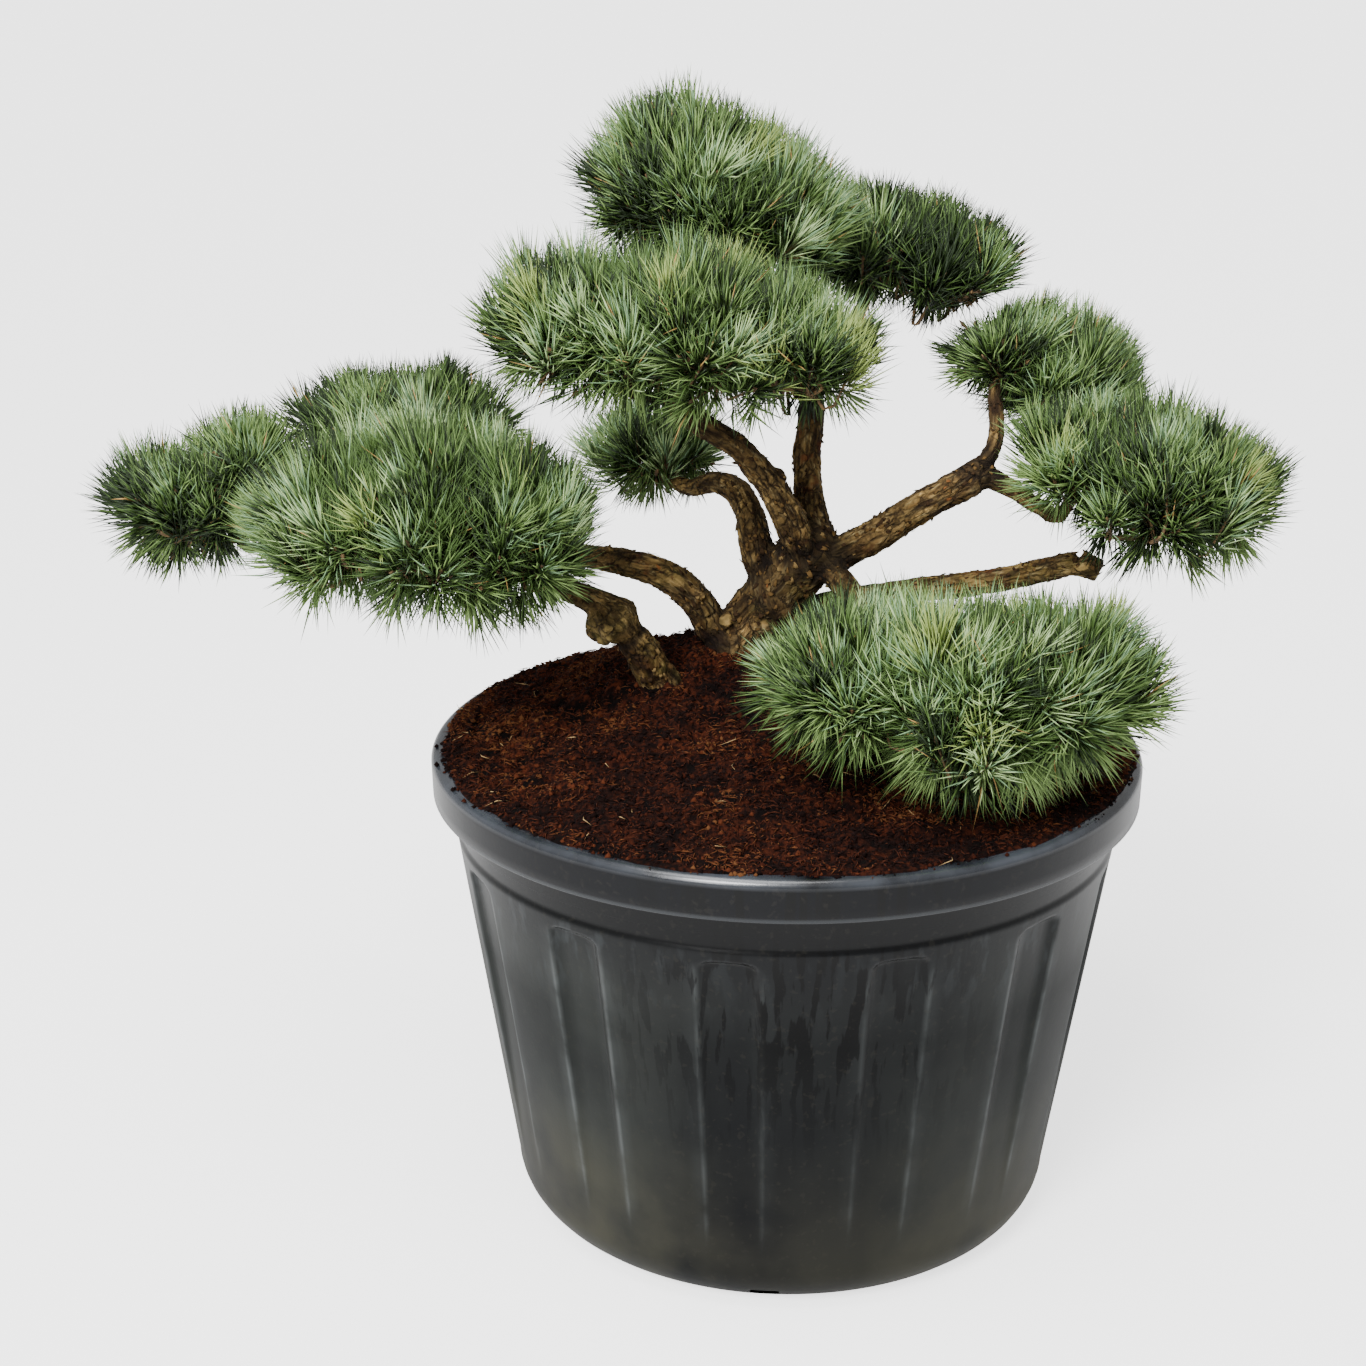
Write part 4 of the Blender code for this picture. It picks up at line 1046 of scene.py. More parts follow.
class TubeSet:
    """Many thin tapering tubes gathered into one mesh."""

    def __init__(self):
        self.points = []
        self.corners = []
        self.starts = []

    def add(self, line, radii, sides):
        """One more tube along a line, closed at both ends."""
        line = np.asarray(line, float)
        steps = np.gradient(line, axis=0)
        steps /= np.linalg.norm(steps, axis=1)[:, None] + 1e-12
        helper = np.array((0.0, 0.0, 1.0)) if abs(steps[0, 2]) < 0.9 else np.array((1.0, 0.0, 0.0))
        first = len(self.points)
        for point, step, radius in zip(line, steps, radii):
            across = np.cross(step, helper)
            across /= np.linalg.norm(across) + 1e-12
            side = np.cross(step, across)
            for k in range(sides):
                angle = 2 * math.pi * k / sides
                self.points.append(point + (across * math.cos(angle) + side * math.sin(angle)) * radius)
        for ring in range(len(line) - 1):
            low = first + ring * sides
            for k in range(sides):
                ahead = (k + 1) % sides
                self.starts.append(len(self.corners))
                self.corners += [low + k, low + sides + k, low + sides + ahead, low + ahead]
        for ring, order in ((0, 1), (len(line) - 1, -1)):
            self.starts.append(len(self.corners))
            self.corners += [first + ring * sides + k for k in range(sides)][::order]

    def mesh(self, name):
        """All the tubes as one smooth mesh."""
        mesh = mesh_from_arrays(name, self.points, self.corners, self.starts)
        mesh.shade_smooth()
        return mesh


def bent(start, end, sag, count=5):
    """A gently bent path between two points; sag lifts or drops its middle."""
    share = np.linspace(0.0, 1.0, count)[:, None]
    return start + (end - start) * share + np.array((0.0, 0.0, 1.0)) * sag * 4.0 * share * (1.0 - share)


def twigs_of_mass(name):
    """Main twigs, side twigs and buds of one mass."""
    rng = np.random.default_rng(SEED * 3 + len(name))
    lobes = MASSES[name][1]
    tubes = TubeSet()
    stems = [line for label, line in LINES.items() if label.startswith(name + "_")]
    joints = [np.array(point) for line in stems for point in line[2:]]
    hubs = [np.array(hub) for hub in HUBS[name]]
    for hub, (centre, half) in zip(hubs, lobes):
        for k in range(MAIN_TWIGS):
            angle = GOLDEN_TURN * k + rng.uniform(0.0, 0.6)
            reach = rng.uniform(0.42, 0.66)
            end = hub + np.array((math.cos(angle) * half[0] * reach, math.sin(angle) * half[1] * reach,
                                  half[2] * rng.uniform(0.05, 0.40)))
            path = bent(hub, end, -0.006 * rng.random(), 6)
            tubes.add(path, np.linspace(*MAIN_TWIG_RADII, len(path)), TWIG_SIDES)
            joints += list(path[1:])
    joints = np.array(joints)
    for foot, way in zip(*SHOOTS[name]):
        cost = np.linalg.norm(joints - foot, axis=1) + FROM_ABOVE * np.maximum(0, joints[:, 2] - foot[2])
        source = joints[np.argmin(cost)]
        halfway = (source + foot) / 2
        middle = halfway + (foot - way * 0.6 - halfway) * 0.35
        path = np.stack([source, middle, foot, foot + way * 0.96, foot + way * 1.04, foot + way * 1.16])
        tubes.add(path, SIDE_TWIG_RADII, SIDE_TWIG_SIDES)
    return tubes.mesh("twigs_" + name)


twig_bark = Nodes("twig_bark", 0.85)
twig_bark.link(twig_bark.mix(twig_bark.patch(160.0, 0.42, 0.60), linear(92, 74, 54), linear(134, 106, 72)),
               twig_bark.shader.inputs["Base Color"])
twig_bark.bump(twig_bark.patch(600.0, 0.30, 0.70, 3.0), 0.4, 0.0004)
twig_total = 0
for name in MASSES:
    piece = add_piece("twigs_" + name, twigs_of_mass(name), [twig_bark.material], (name,))
    twig_total += triangle_count(piece)
print("twigs", twig_total, "triangles")

# %% [markdown]
# No two sprays of a pine have quite the same green: it is blue-green, deep, or yellow where the shoots
# are young. Colour is dealt out spray by spray from seven plain tones, and each dome has shares of its
# own, paler in front and deeper at the back of the crown, where the deeper shares are painted shade.
# Needles deep inside a dome and on shoots that lie level or hang take deeper tones, also as painted shade.

# %% Needle tones
NEEDLE_TONES = (
    ("needle_deep_and_shade", linear(30, 43, 20)),
    ("needle_green", linear(72, 95, 48)),
    ("needle_mid", linear(114, 139, 80)),
    ("needle_blue", linear(114, 144, 106)),
    ("needle_pale", linear(160, 184, 128)),
    ("needle_yellow", linear(138, 156, 86)),
    ("needle_straw", linear(168, 134, 80)),
)
TONES = [plain_finish(name, colour, 0.55, 0.3) for name, colour in NEEDLE_TONES]
# Each dome's shares of the tones; the deep shares of the back domes are painted shade.
MASS_TONES_AND_SHADE = {
    "foliage_top": (0.18, 0.32, 0.27, 0.13, 0.06, 0.04, 0.0),
    "foliage_top_right": (0.58, 0.31, 0.09, 0.02, 0.00, 0.00, 0.0),
    "foliage_middle": (0.18, 0.30, 0.28, 0.09, 0.07, 0.08, 0.0),
    "foliage_rear": (0.05, 0.17, 0.28, 0.32, 0.16, 0.02, 0.0),
    "foliage_right_upper": (0.28, 0.34, 0.22, 0.11, 0.03, 0.02, 0.0),
    "foliage_right": (0.22, 0.34, 0.24, 0.09, 0.05, 0.06, 0.0),
    "foliage_front": (0.10, 0.23, 0.28, 0.22, 0.13, 0.04, 0.0),
    "foliage_left": (0.12, 0.26, 0.31, 0.10, 0.12, 0.09, 0.0),
    "foliage_far_left": (0.30, 0.35, 0.22, 0.10, 0.02, 0.01, 0.0),
    "foliage_back_left": (0.46, 0.36, 0.12, 0.05, 0.01, 0.00, 0.0),
}
print("tones", len(TONES))

# %% [markdown]
# A needle is a few centimetres long, stiff, slightly curved and pointed, and two stand in one sheath.
# One is drawn as a three-sided spindle, bent at its thickest. They are placed with arrays: each pair
# starts on its shoot, opens away from it and strays a little, and is kept, shortened or dropped by the
# rule of its dome's own space. Brushes that lie level or hang lose a third of theirs, as needles fall
# from the shade. A few needles anywhere are dead and straw coloured.

# %% Needles
PAIRS_PER_SHOOT = 46
NEEDLE_WIDTH = 0.0021
STRAY = 0.12
SPARSE_BELOW = 0.66
BELOW = 0.30
PAIR_ANGLE = 0.14
DROOPING = 0.38
OPEN_AT_FOOT = 46.0
OPEN_AT_BUD = 13.0
BARE_FOOT = 0.12
SHADED_INNER_SHARE = 0.80
STRAW_SHARE = 0.005


def place_needles(name, rng):
    """Root, direction, length and shoot of every needle of one mass."""
    feet, ways = SHOOTS[name]
    shoot = np.repeat(np.arange(len(feet)), PAIRS_PER_SHOOT)
    number = np.tile(np.arange(PAIRS_PER_SHOOT), len(feet))
    total = len(shoot)
    along = BARE_FOOT + (1.0 - BARE_FOOT) * (number + rng.random(total)) / PAIRS_PER_SHOOT
    axis = unit_rows(ways[shoot])
    helper = np.where(np.abs(axis[:, 2:3]) < 0.9, np.array([[0.0, 0.0, 1.0]]), np.array([[1.0, 0.0, 0.0]]))
    across = unit_rows(np.cross(axis, helper))
    side = np.cross(axis, across)
    angle = GOLDEN_TURN * number + rng.uniform(-0.6, 0.6, total)
    out = across * np.cos(angle)[:, None] + side * np.sin(angle)[:, None]
    opening = np.radians(OPEN_AT_FOOT + (OPEN_AT_BUD - OPEN_AT_FOOT) * along) * rng.uniform(0.55, 1.35, total)
    way = axis * np.cos(opening)[:, None] + out * np.sin(opening)[:, None]
    way = unit_rows(way + rng.normal(0.0, STRAY, (total, 3)))
    twin = unit_rows(np.cross(way, rng.normal(size=(total, 3)))) * PAIR_ANGLE
    root = feet[shoot] + ways[shoot] * along[:, None] + out * 0.0012
    length = NEEDLE_LENGTH * rng.uniform(0.86, 1.10, len(feet))[shoot] * rng.uniform(0.82, 1.10, total)
    limit = rng.uniform(0.86, 1.17, len(feet))[shoot] + rng.uniform(-0.10, 0.05, total)
    way = unit_rows(np.concatenate([way + twin, way - twin]) + np.array((0.0, 0.0, 0.05)))
    root, limit, shoot = np.tile(root, (2, 1)), np.tile(limit, 2), np.tile(shoot, 2)
    shoot_axis = np.tile(np.arange(total), 2)
    length = np.tile(length, 2) * rng.uniform(0.92, 1.0, 2 * total)
    for _ in range(4):
        length = np.where(outline_share(root + way * length[:, None], name) > limit, length * 0.90, length)
    tip, middle = root + way * length[:, None], root + way * (length * 0.55)[:, None]
    keep = (length > NEEDLE_LENGTH * 0.5) & own_space(tip, name, 1.20) & own_space(middle, name, 1.20)
    keep &= (axis[shoot_axis, 2] > BELOW) | (rng.random(2 * total) < SPARSE_BELOW)
    return root[keep], way[keep], length[keep], shoot[keep]


def needle_shapes(root, way, length, rng):
    """Points of three-sided spindles: the root, a ring of three where the needle bends, and the tip."""
    total = len(root)
    bend = unit_rows(np.cross(way, rng.normal(size=(total, 3))))
    middle = root + way * (length * 0.50)[:, None] + bend * (length * rng.uniform(0.0, 0.07, total))[:, None]
    across = unit_rows(np.cross(way, rng.normal(size=(total, 3))))
    side = np.cross(way, across)
    half = (NEEDLE_WIDTH / 2 * rng.uniform(0.85, 1.15, total))[:, None]
    ring = []
    for corner in range(3):
        angle = 2 * math.pi * corner / 3
        ring.append(middle + (across * math.cos(angle) + side * math.sin(angle) * 0.7) * half)
    return np.stack([root, *ring, root + way * length[:, None]], axis=1)


def needle_tones(name, shoot, tip, rng):
    """Material number of each needle: its spray's tone, with drift, and deeper tones painted as shade inside
    the dome and on level or hanging shoots.
    """
    tone = rng.choice(len(TONES), size=len(SHOOTS[name][0]), p=np.array(MASS_TONES_AND_SHADE[name]))[shoot]
    drift = rng.random(len(shoot))
    tone = np.where((drift < 0.28) & (tone < 5) & (tone > 0), tone - 1, tone)
    tone = np.where((drift > 0.74) & (tone < 4), tone + 1, tone)
    # Needles that end deep inside the dome, and those of level or hanging shoots, take deeper tones as
    # painted shade.
    inner = outline_share(tip, name) < SHADED_INNER_SHARE
    tone = np.where(inner, np.minimum(tone, 1), tone)
    drooping_shaded = unit_rows(SHOOTS[name][1])[shoot, 2] < DROOPING
    tone = np.where(drooping_shaded, np.minimum(tone, 2), tone)
    return np.where(rng.random(len(shoot)) < STRAW_SHARE, len(TONES) - 1, tone)


def needles_of_mass(name):
    """All needles of one mass as one mesh."""
    rng = np.random.default_rng(SEED * 5 + len(name) * 3)
    root, way, length, shoot = place_needles(name, rng)
    points = needle_shapes(root, way, length, rng)
    tone = needle_tones(name, shoot, root + way * length[:, None], rng)
    return repeated_mesh("needles_" + name, points, SPINDLE_FACES, tone)


needle_total = 0
for name in MASSES:
    piece = add_piece("needles_" + name, needles_of_mass(name), TONES, (name,))
    needle_total += triangle_count(piece)
    print(name, triangle_count(piece))
print("needles", needle_total, "triangles")

# %% [markdown]
# The pot is blow-moulded black polyethylene: a rolled rim with a skirt, a neck band stepped in below
# it, then a tapering wall with shallow flutes, a rounded foot and slots that let water out. It is spun
# from its half section. The flutes are then pressed in by moving wall points inwards, with the columns
# of points drawn together at the flutes' edges so that those stay crisp. The edges are also kept as an
# attribute, on which a pale line is painted as their highlight.

# %% The pot's section
SKIRT_HEIGHT = 0.040
SKIRT_THICKNESS = 0.004
RIM_THICKNESS = 0.006
RIM_ROLL = 0.0085
WALL_THICKNESS = 0.005
FLOOR_THICKNESS = 0.007
WALL_TOP_RADIUS = 0.339
WALL_FOOT_RADIUS = 0.265
FOOT_ROUNDING = 0.050
NECK_HEIGHT = 0.080
NECK_STEP = 0.003
NECK_STEP_HEIGHT = 0.009
FLUTES = 13
FLUTE_HALF_ANGLE = math.radians(4.5)
FLUTE_EDGE_ANGLE = math.radians(2.0)
FLUTE_DEPTH = 0.0058
FLUTE_PHASE = math.radians(-8.5)
FLUTE_TOP = 0.392
FLUTE_FADE = 0.070
FLUTE_RUN_OUT = 0.17
FLUTE_PITCH = 2 * math.pi / FLUTES
FLUTE_ARCH = 0.45
FLUTE_ARCH_HEIGHT = 0.010
FLUTE_LIP = 0.004
FLUTE_BOTTOM = 0.45
FLUTE_OUTSIDE = 1.35
COLUMNS_PER_FLUTE = 22
HIGHLIGHT_WIDTH = math.radians(0.5)
WALL_TOLERANCE = 0.002


def wall_radius(height):
    """Outer radius of the tapering wall."""
    return WALL_FOOT_RADIUS + (WALL_TOP_RADIUS - WALL_FOOT_RADIUS) * height / POT_HEIGHT


def arc(centre, radius, first, last, steps):
    """Points of an arc, angles in degrees from the outward direction."""
    angles = [math.radians(first + (last - first) * k / steps) for k in range(steps + 1)]
    return [(centre[0] + radius * math.cos(a), centre[1] + radius * math.sin(a)) for a in angles]


def pot_section():
    """Half section from the underside's centre, out, up, over the rim and down inside."""
    foot = wall_radius(FOOT_ROUNDING)
    neck_foot = POT_HEIGHT - NECK_HEIGHT
    under_rim = POT_HEIGHT - RIM_THICKNESS
    skirt_foot = POT_HEIGHT - SKIRT_HEIGHT
    inner = NECK_STEP + WALL_THICKNESS
    outline = [(0.0, 0.0), (0.10, 0.0), (0.18, 0.0)]
    outline += arc((foot - FOOT_ROUNDING, FOOT_ROUNDING), FOOT_ROUNDING, -90.0, 0.0, 10)
    arch_foot = FLUTE_TOP - 0.012
    for low, high, count in ((FOOT_ROUNDING, arch_foot, 22), (arch_foot, neck_foot - 0.005, 11)):
        outline += [(wall_radius(height), height) for height in np.linspace(low, high, count)[1:]]
    for share in np.linspace(0.0, 1.0, 9)[1:]:
        height = neck_foot + NECK_STEP_HEIGHT * (share - 0.5)
        outline.append((wall_radius(height) - NECK_STEP * share * share * (3 - 2 * share), height))
    outline += [(wall_radius(height) - NECK_STEP, height)
                for height in np.linspace(neck_foot + 0.006, under_rim - 0.002, 7)]
    outline += [(wall_radius(under_rim) - NECK_STEP + 0.001, under_rim),
                (RIM_RADIUS - SKIRT_THICKNESS, under_rim),
                (RIM_RADIUS - SKIRT_THICKNESS - 0.0008, skirt_foot)]
    outline += [(RIM_RADIUS - 0.0018, skirt_foot - 0.0004), (RIM_RADIUS - 0.0009, skirt_foot + 0.0008),
                (RIM_RADIUS - 0.0006, skirt_foot + 0.012), (RIM_RADIUS - 0.0002, POT_HEIGHT - 0.012)]
    outline += arc((RIM_RADIUS - RIM_ROLL, POT_HEIGHT - RIM_ROLL), RIM_ROLL, 8.0, 90.0, 9)
    top_inner = wall_radius(POT_HEIGHT) - inner
    outline += arc((top_inner + 0.004, POT_HEIGHT - 0.004), 0.004, 90.0, 180.0, 4)
    outline += [(wall_radius(0.42) - inner, 0.42), (wall_radius(FOOT_ROUNDING) - inner, FOOT_ROUNDING),
                (wall_radius(FOOT_ROUNDING) - inner - 0.032, FLOOR_THICKNESS), (0.0, FLOOR_THICKNESS)]
    return outline


def flute_columns():
    """Angles of the columns of one flute and its panel, close together at the edges."""
    edge = [-0.5, -0.3, -0.1, 0.15, 0.5]
    columns = [-FLUTE_HALF_ANGLE + share * FLUTE_EDGE_ANGLE for share in edge]
    columns += list(np.linspace(-FLUTE_HALF_ANGLE * FLUTE_BOTTOM, FLUTE_HALF_ANGLE * FLUTE_BOTTOM, 4))
    columns += [FLUTE_HALF_ANGLE - share * FLUTE_EDGE_ANGLE for share in reversed(edge)]
    rest = COLUMNS_PER_FLUTE - len(columns)
    outside = FLUTE_HALF_ANGLE * FLUTE_OUTSIDE
    columns += list(np.linspace(outside, FLUTE_PITCH - outside, rest))
    return columns


def flute_sink(angle, height):
    """How far the wall is pressed in, by the angle from a flute's start and the height."""
    away = abs(angle) if angle < FLUTE_PITCH / 2 else abs(FLUTE_PITCH - angle)
    arch = max(0.0, (height - FLUTE_TOP + FLUTE_ARCH_HEIGHT) / FLUTE_ARCH_HEIGHT) ** 2
    narrow = FLUTE_HALF_ANGLE - FLUTE_HALF_ANGLE * FLUTE_ARCH * arch
    side = min(1.0, max(0.0, (narrow - away) / FLUTE_EDGE_ANGLE + 0.5))
    fade = min(1.0, (height - FLUTE_FADE) / FLUTE_RUN_OUT)
    top = min(1.0, (FLUTE_TOP - height) / FLUTE_LIP)
    return FLUTE_DEPTH * side * side * (3 - 2 * side) * fade * top


def press_flutes(bm):
    """Draw the columns together at the flutes' edges, then sink the flutes."""
    columns = flute_columns()
    for vert in bm.verts:
        radius = math.hypot(vert.co.x, vert.co.y)
        if radius < 1e-6:
            continue
        even = math.atan2(vert.co.y, vert.co.x) % (2 * math.pi)
        index = round(even / (2 * math.pi) * FLUTES * COLUMNS_PER_FLUTE)
        turn, column = divmod(index, COLUMNS_PER_FLUTE)
        if radius > wall_radius(vert.co.z) - WALL_TOLERANCE and FLUTE_FADE < vert.co.z < FLUTE_TOP:
            radius -= flute_sink(columns[column], vert.co.z)
        place = turn * FLUTE_PITCH + columns[column] + FLUTE_PHASE - math.pi / 2
        vert.co.x = radius * math.cos(place)
        vert.co.y = radius * math.sin(place)


def edge_highlight(points):
    """1 on the two edges of each flute, where a pale highlight is painted, and 0 away from them."""
    angles = np.arctan2(points[:, 1], points[:, 0]) - FLUTE_PHASE + math.pi / 2
    from_centre = np.abs((angles + FLUTE_PITCH / 2) % FLUTE_PITCH - FLUTE_PITCH / 2)
    wear = np.exp(-((from_centre - FLUTE_HALF_ANGLE - FLUTE_EDGE_ANGLE / 2) / HIGHLIGHT_WIDTH) ** 2)
    heights = points[:, 2]
    wear *= ease(FLUTE_FADE, FLUTE_FADE + 0.04, heights) * ease(FLUTE_TOP, FLUTE_TOP - 0.02, heights)
    wear[np.hypot(points[:, 0], points[:, 1]) < wall_radius(heights) - WALL_TOLERANCE] = 0.0
    return wear


bm = spun(pot_section(), FLUTES * COLUMNS_PER_FLUTE)
press_flutes(bm)
bmesh.ops.recalc_face_normals(bm, faces=bm.faces)

SLOTS = 6
SLOT_PHASE = math.radians(-2.7)
SLOT_WIDTH = 0.028
SLOT_HEIGHT = 0.012
SLOT_FOOT = 0.008
SLOT_DEPTH = 0.080
SLOT_ROUNDING = 0.0015
SHARP_ANGLE = math.radians(50.0)


def slots_mesh():
    """Six upright-cornered blocks round the foot, their edges rounded."""
    cutter = bmesh.new()
    for index in range(SLOTS):
        turn = Matrix.Rotation(SLOT_PHASE + index * 2 * math.pi / SLOTS - math.pi / 2, 4, "Z")
        place = Matrix.Translation((wall_radius(0.0), 0.0, SLOT_FOOT + SLOT_HEIGHT / 2))
        size = Matrix.Diagonal((SLOT_DEPTH, SLOT_WIDTH, SLOT_HEIGHT, 1.0))
        bmesh.ops.create_cube(cutter, size=1.0, matrix=turn @ place @ size)
    bmesh.ops.bevel(cutter, geom=list(cutter.edges), offset=SLOT_ROUNDING, segments=2, profile=0.5,
                    affect="EDGES", material=-1)
    mesh = bpy.data.meshes.new("slots")
    cutter.to_mesh(mesh)
    cutter.free()
    return mesh


uncut_mesh = bpy.data.meshes.new("uncut_pot")
bm.to_mesh(uncut_mesh)
bm.free()
uncut = placed("uncut_pot", uncut_mesh)
slots = placed("slots", slots_mesh())
cut = uncut.modifiers.new("drain", "BOOLEAN")
cut.operation = "DIFFERENCE"
cut.solver = "EXACT"
cut.object = slots
pot_mesh = modified_mesh(uncut)
for thing in (uncut, slots):
    bpy.data.objects.remove(thing, do_unlink=True)
flute_highlights = edge_highlight(np.array([vert.co for vert in pot_mesh.vertices]))
pot_mesh.attributes.new("edge_highlight", "FLOAT", "POINT").data.foreach_set("value", flute_highlights)
print("pot", len(pot_mesh.polygons), "faces")

# %% [markdown]
# Black nursery plastic is never one colour. Near the rim it keeps a bluish gloss; further down a film
# of dust turns it olive grey, and at the foot it is beige. Water from the front of the rim has drawn runs
# down a strip in the middle, and dust and scuffs are kept off that strip, so that it stays dark: partly
# washed, partly a painted dark reflection. The neck band is painted dark as shade under the skirt, the
# step and the rim's top catch pale dust, and pale highlights are painted on the flutes' edges. The masks
# are noise and heights.

# %% Pot plastic
plastic = Nodes("black_nursery_plastic", 0.4)
# A strip down the middle, where water has drawn runs, is kept free of dust and scuffs: partly washed, partly
# a painted dark reflection.
washed_and_dark_reflection = plastic.times(plastic.along("X", -0.18, -0.04), plastic.along("X", 0.21, 0.08))
outside_dark_middle = plastic.math("SUBTRACT", 1.0, plastic.times(washed_and_dark_reflection, 0.72))
dust = plastic.times(plastic.height(0.43, 0.34), plastic.patch(5.0, 0.22, 0.58, 6.0))
foot_dust = plastic.times(plastic.height(0.20, 0.02), plastic.patch(10.0, 0.30, 0.62))
under_neck = plastic.times(plastic.height(0.30, 0.38), plastic.height(0.405, 0.395))
scuffs = plastic.times(plastic.streaks((70.0, 70.0, 22.0), 0.53, 0.62, 8.0),
                       plastic.times(under_neck, outside_dark_middle))
# Pale lines on the flutes' edges: painted highlights.
flute_highlight_mask = plastic.times(plastic.attribute("edge_highlight"), plastic.patch(24.0, 0.30, 0.60))
runs = plastic.times(plastic.streaks((92.0, 92.0, 5.0), 0.52, 0.555, 8.0), plastic.height(0.16, 0.34))
# The neck band under the skirt is painted dark as shade.
neck_shade = plastic.times(plastic.height(0.398, 0.404), plastic.height(0.4435, 0.4425))
runs_and_neck_shade = plastic.math("MAXIMUM", plastic.times(runs, washed_and_dark_reflection), plastic.times(neck_shade, 0.7))
lip = plastic.times(plastic.height(0.4405, 0.4425), plastic.height(0.4475, 0.4450))
rim_top = plastic.height(0.4725, 0.4790)
plastic_colour = plastic.coated(linear(7, 9, 14), (
    (dust, outside_dark_middle, linear(44, 46, 44)),
    (foot_dust, outside_dark_middle, linear(64, 62, 51)),
    (scuffs, 0.30, linear(62, 66, 68)),
    # Painted highlights on the flutes' edges.
    (plastic.times(flute_highlight_mask, outside_dark_middle), 0.45, linear(104, 108, 108)),
    # Water runs, and the neck band painted dark as shade under the skirt.
    (runs_and_neck_shade, 1.0, linear(2, 3, 5)),
    (plastic.patch(150.0, 0.60, 0.68, 2.0), 0.16, linear(52, 50, 44)),
    (lip, 0.45, linear(70, 73, 76)),
    (plastic.times(rim_top, plastic.patch(14.0, 0.30, 0.62, 5.0)), 0.5, linear(84, 89, 97))))
plastic.link(plastic_colour, plastic.shader.inputs["Base Color"])
plastic.range(plastic.height(0.44, 0.30), 0.24, 0.46, "Roughness")
gloss = plastic.math("ADD", plastic.times(plastic.height(0.30, 0.44), 0.16), plastic.times(rim_top, 0.45))
plastic.link(plastic.math("ADD", gloss, 0.10), plastic.shader.inputs["Specular IOR Level"])
plastic.bump(plastic.patch(260.0, 0.20, 0.80, 4.0), 0.10, 0.0004)
pot_mesh.shade_smooth()
pot_mesh.set_sharp_from_angle(angle=SHARP_ANGLE)
pot = add_piece("nursery_pot", pot_mesh, [plastic.material], ("pot",))
print("pot", triangle_count(pot), "triangles")

# %% [markdown]
# The soil is moist coir and peat: dark red-brown, heaped from the rim to the trunk, and painted darker
# in front as shade. A fine disc takes the heap's shape, its clods and a coarse grain, and its edge
# wanders, because some of the soil has slid onto the rim.

# %% Soil bed
SOIL_RINGS = 150
SOIL_COLUMNS = 420
SOIL_LOOSE = 0.003
SOIL_OVER_RIM = 0.3395
SOIL_EDGE_WANDER = 0.0055
CLOD_SIZE = 0.034
CLOD_RISE = 0.0060
LUMP_SIZE = 0.013
LUMP_RISE = 0.0040
CRUST_SIZE = 0.0075
CRUST_RISE = 0.0042
GRAIN_SIZE = 0.0045
GRAIN_RISE = 0.0012


def ragged_edge(x, y):
    """How far out the soil lies, by direction: some of it has slid onto the rim."""
    away = np.maximum(np.hypot(x, y), 1e-9)
    around = np.stack([x / away * 6.0, y / away * 6.0, np.zeros(len(away))], axis=1)
    return SOIL_OVER_RIM + SOIL_EDGE_WANDER * layered_noise(around, 3, 81)


def bed_height(x, y):
    """Height of the loose soil: the heap, its clods and its grain."""
    edge = ragged_edge(x, y)
    rim = np.clip(np.hypot(x, y) / edge, 0.0, 1.0)
    low = soil_height(x, y) + SOIL_LOOSE * (1.0 - rim ** 7)
    flat = np.stack([x, y, np.zeros(len(x))], axis=1)
    border, tone = cell_noise(flat / CRUST_SIZE, 41)
    low += (CLOD_RISE * layered_noise(flat / CLOD_SIZE, 4, 43)
            + LUMP_RISE * layered_noise(flat / LUMP_SIZE, 2, 45))
    low += (CRUST_RISE * (tone - 0.5) * ease(0.0, 0.35, border)
            + GRAIN_RISE * layered_noise(flat / GRAIN_SIZE, 2, 47))
    on_rim = POT_HEIGHT + 0.0006 + 0.016 * np.sqrt(1.0 - rim)
    return np.where(rim > 0.93, np.maximum(low, on_rim), low)


bm = spun([(k / SOIL_RINGS, 0.0) for k in range(SOIL_RINGS + 1)], SOIL_COLUMNS)
bed = np.array([vert.co for vert in bm.verts])
reach = ragged_edge(bed[:, 0], bed[:, 1])
bed[:, 0] *= reach
bed[:, 1] *= reach
bed[:, 2] = bed_height(bed[:, 0], bed[:, 1])
for vert, place in zip(bm.verts, bed):
    vert.co = place
rim_edges = [edge for edge in bm.edges if edge.is_boundary]
side_wall = bmesh.ops.extrude_edge_only(bm, edges=rim_edges)
for item in side_wall["geom"]:
    if isinstance(item, bmesh.types.BMVert):
        shrink = (SOIL_RADIUS - 0.004) / math.hypot(item.co.x, item.co.y)
        item.co = (item.co.x * shrink, item.co.y * shrink, POT_HEIGHT - 0.030)
bmesh.ops.holes_fill(bm, edges=[edge for edge in bm.edges if edge.is_boundary], sides=0)
bmesh.ops.recalc_face_normals(bm, faces=bm.faces)

peat = Nodes("moist_peat", 0.95)
grain = peat.mix(peat.patch(210.0, 0.40, 0.62, 6.0), linear(25, 10, 6), linear(74, 37, 22))
peat_colour = peat.coated(grain, (
    # Darker towards the front: painted shade.
    (peat.along("Y", -0.02, -0.24), 0.45, linear(14, 5, 2)),
    (peat.patch(40.0, 0.46, 0.64, 5.0), 1.0, linear(12, 5, 3)),
    (peat.patch(11.0, 0.46, 0.60, 3.0), 0.4, linear(14, 6, 4))))
peat.link(peat_colour, peat.shader.inputs["Base Color"])
peat.shader.inputs["Specular IOR Level"].default_value = 0.12
peat.bump(peat.patch(380.0, 0.20, 0.80, 6.0), 0.9, 0.0015)
soil = piece_from_bmesh("soil_bed", bm, [peat.material], ("soil",))
print("soil", triangle_count(soil), "triangles")
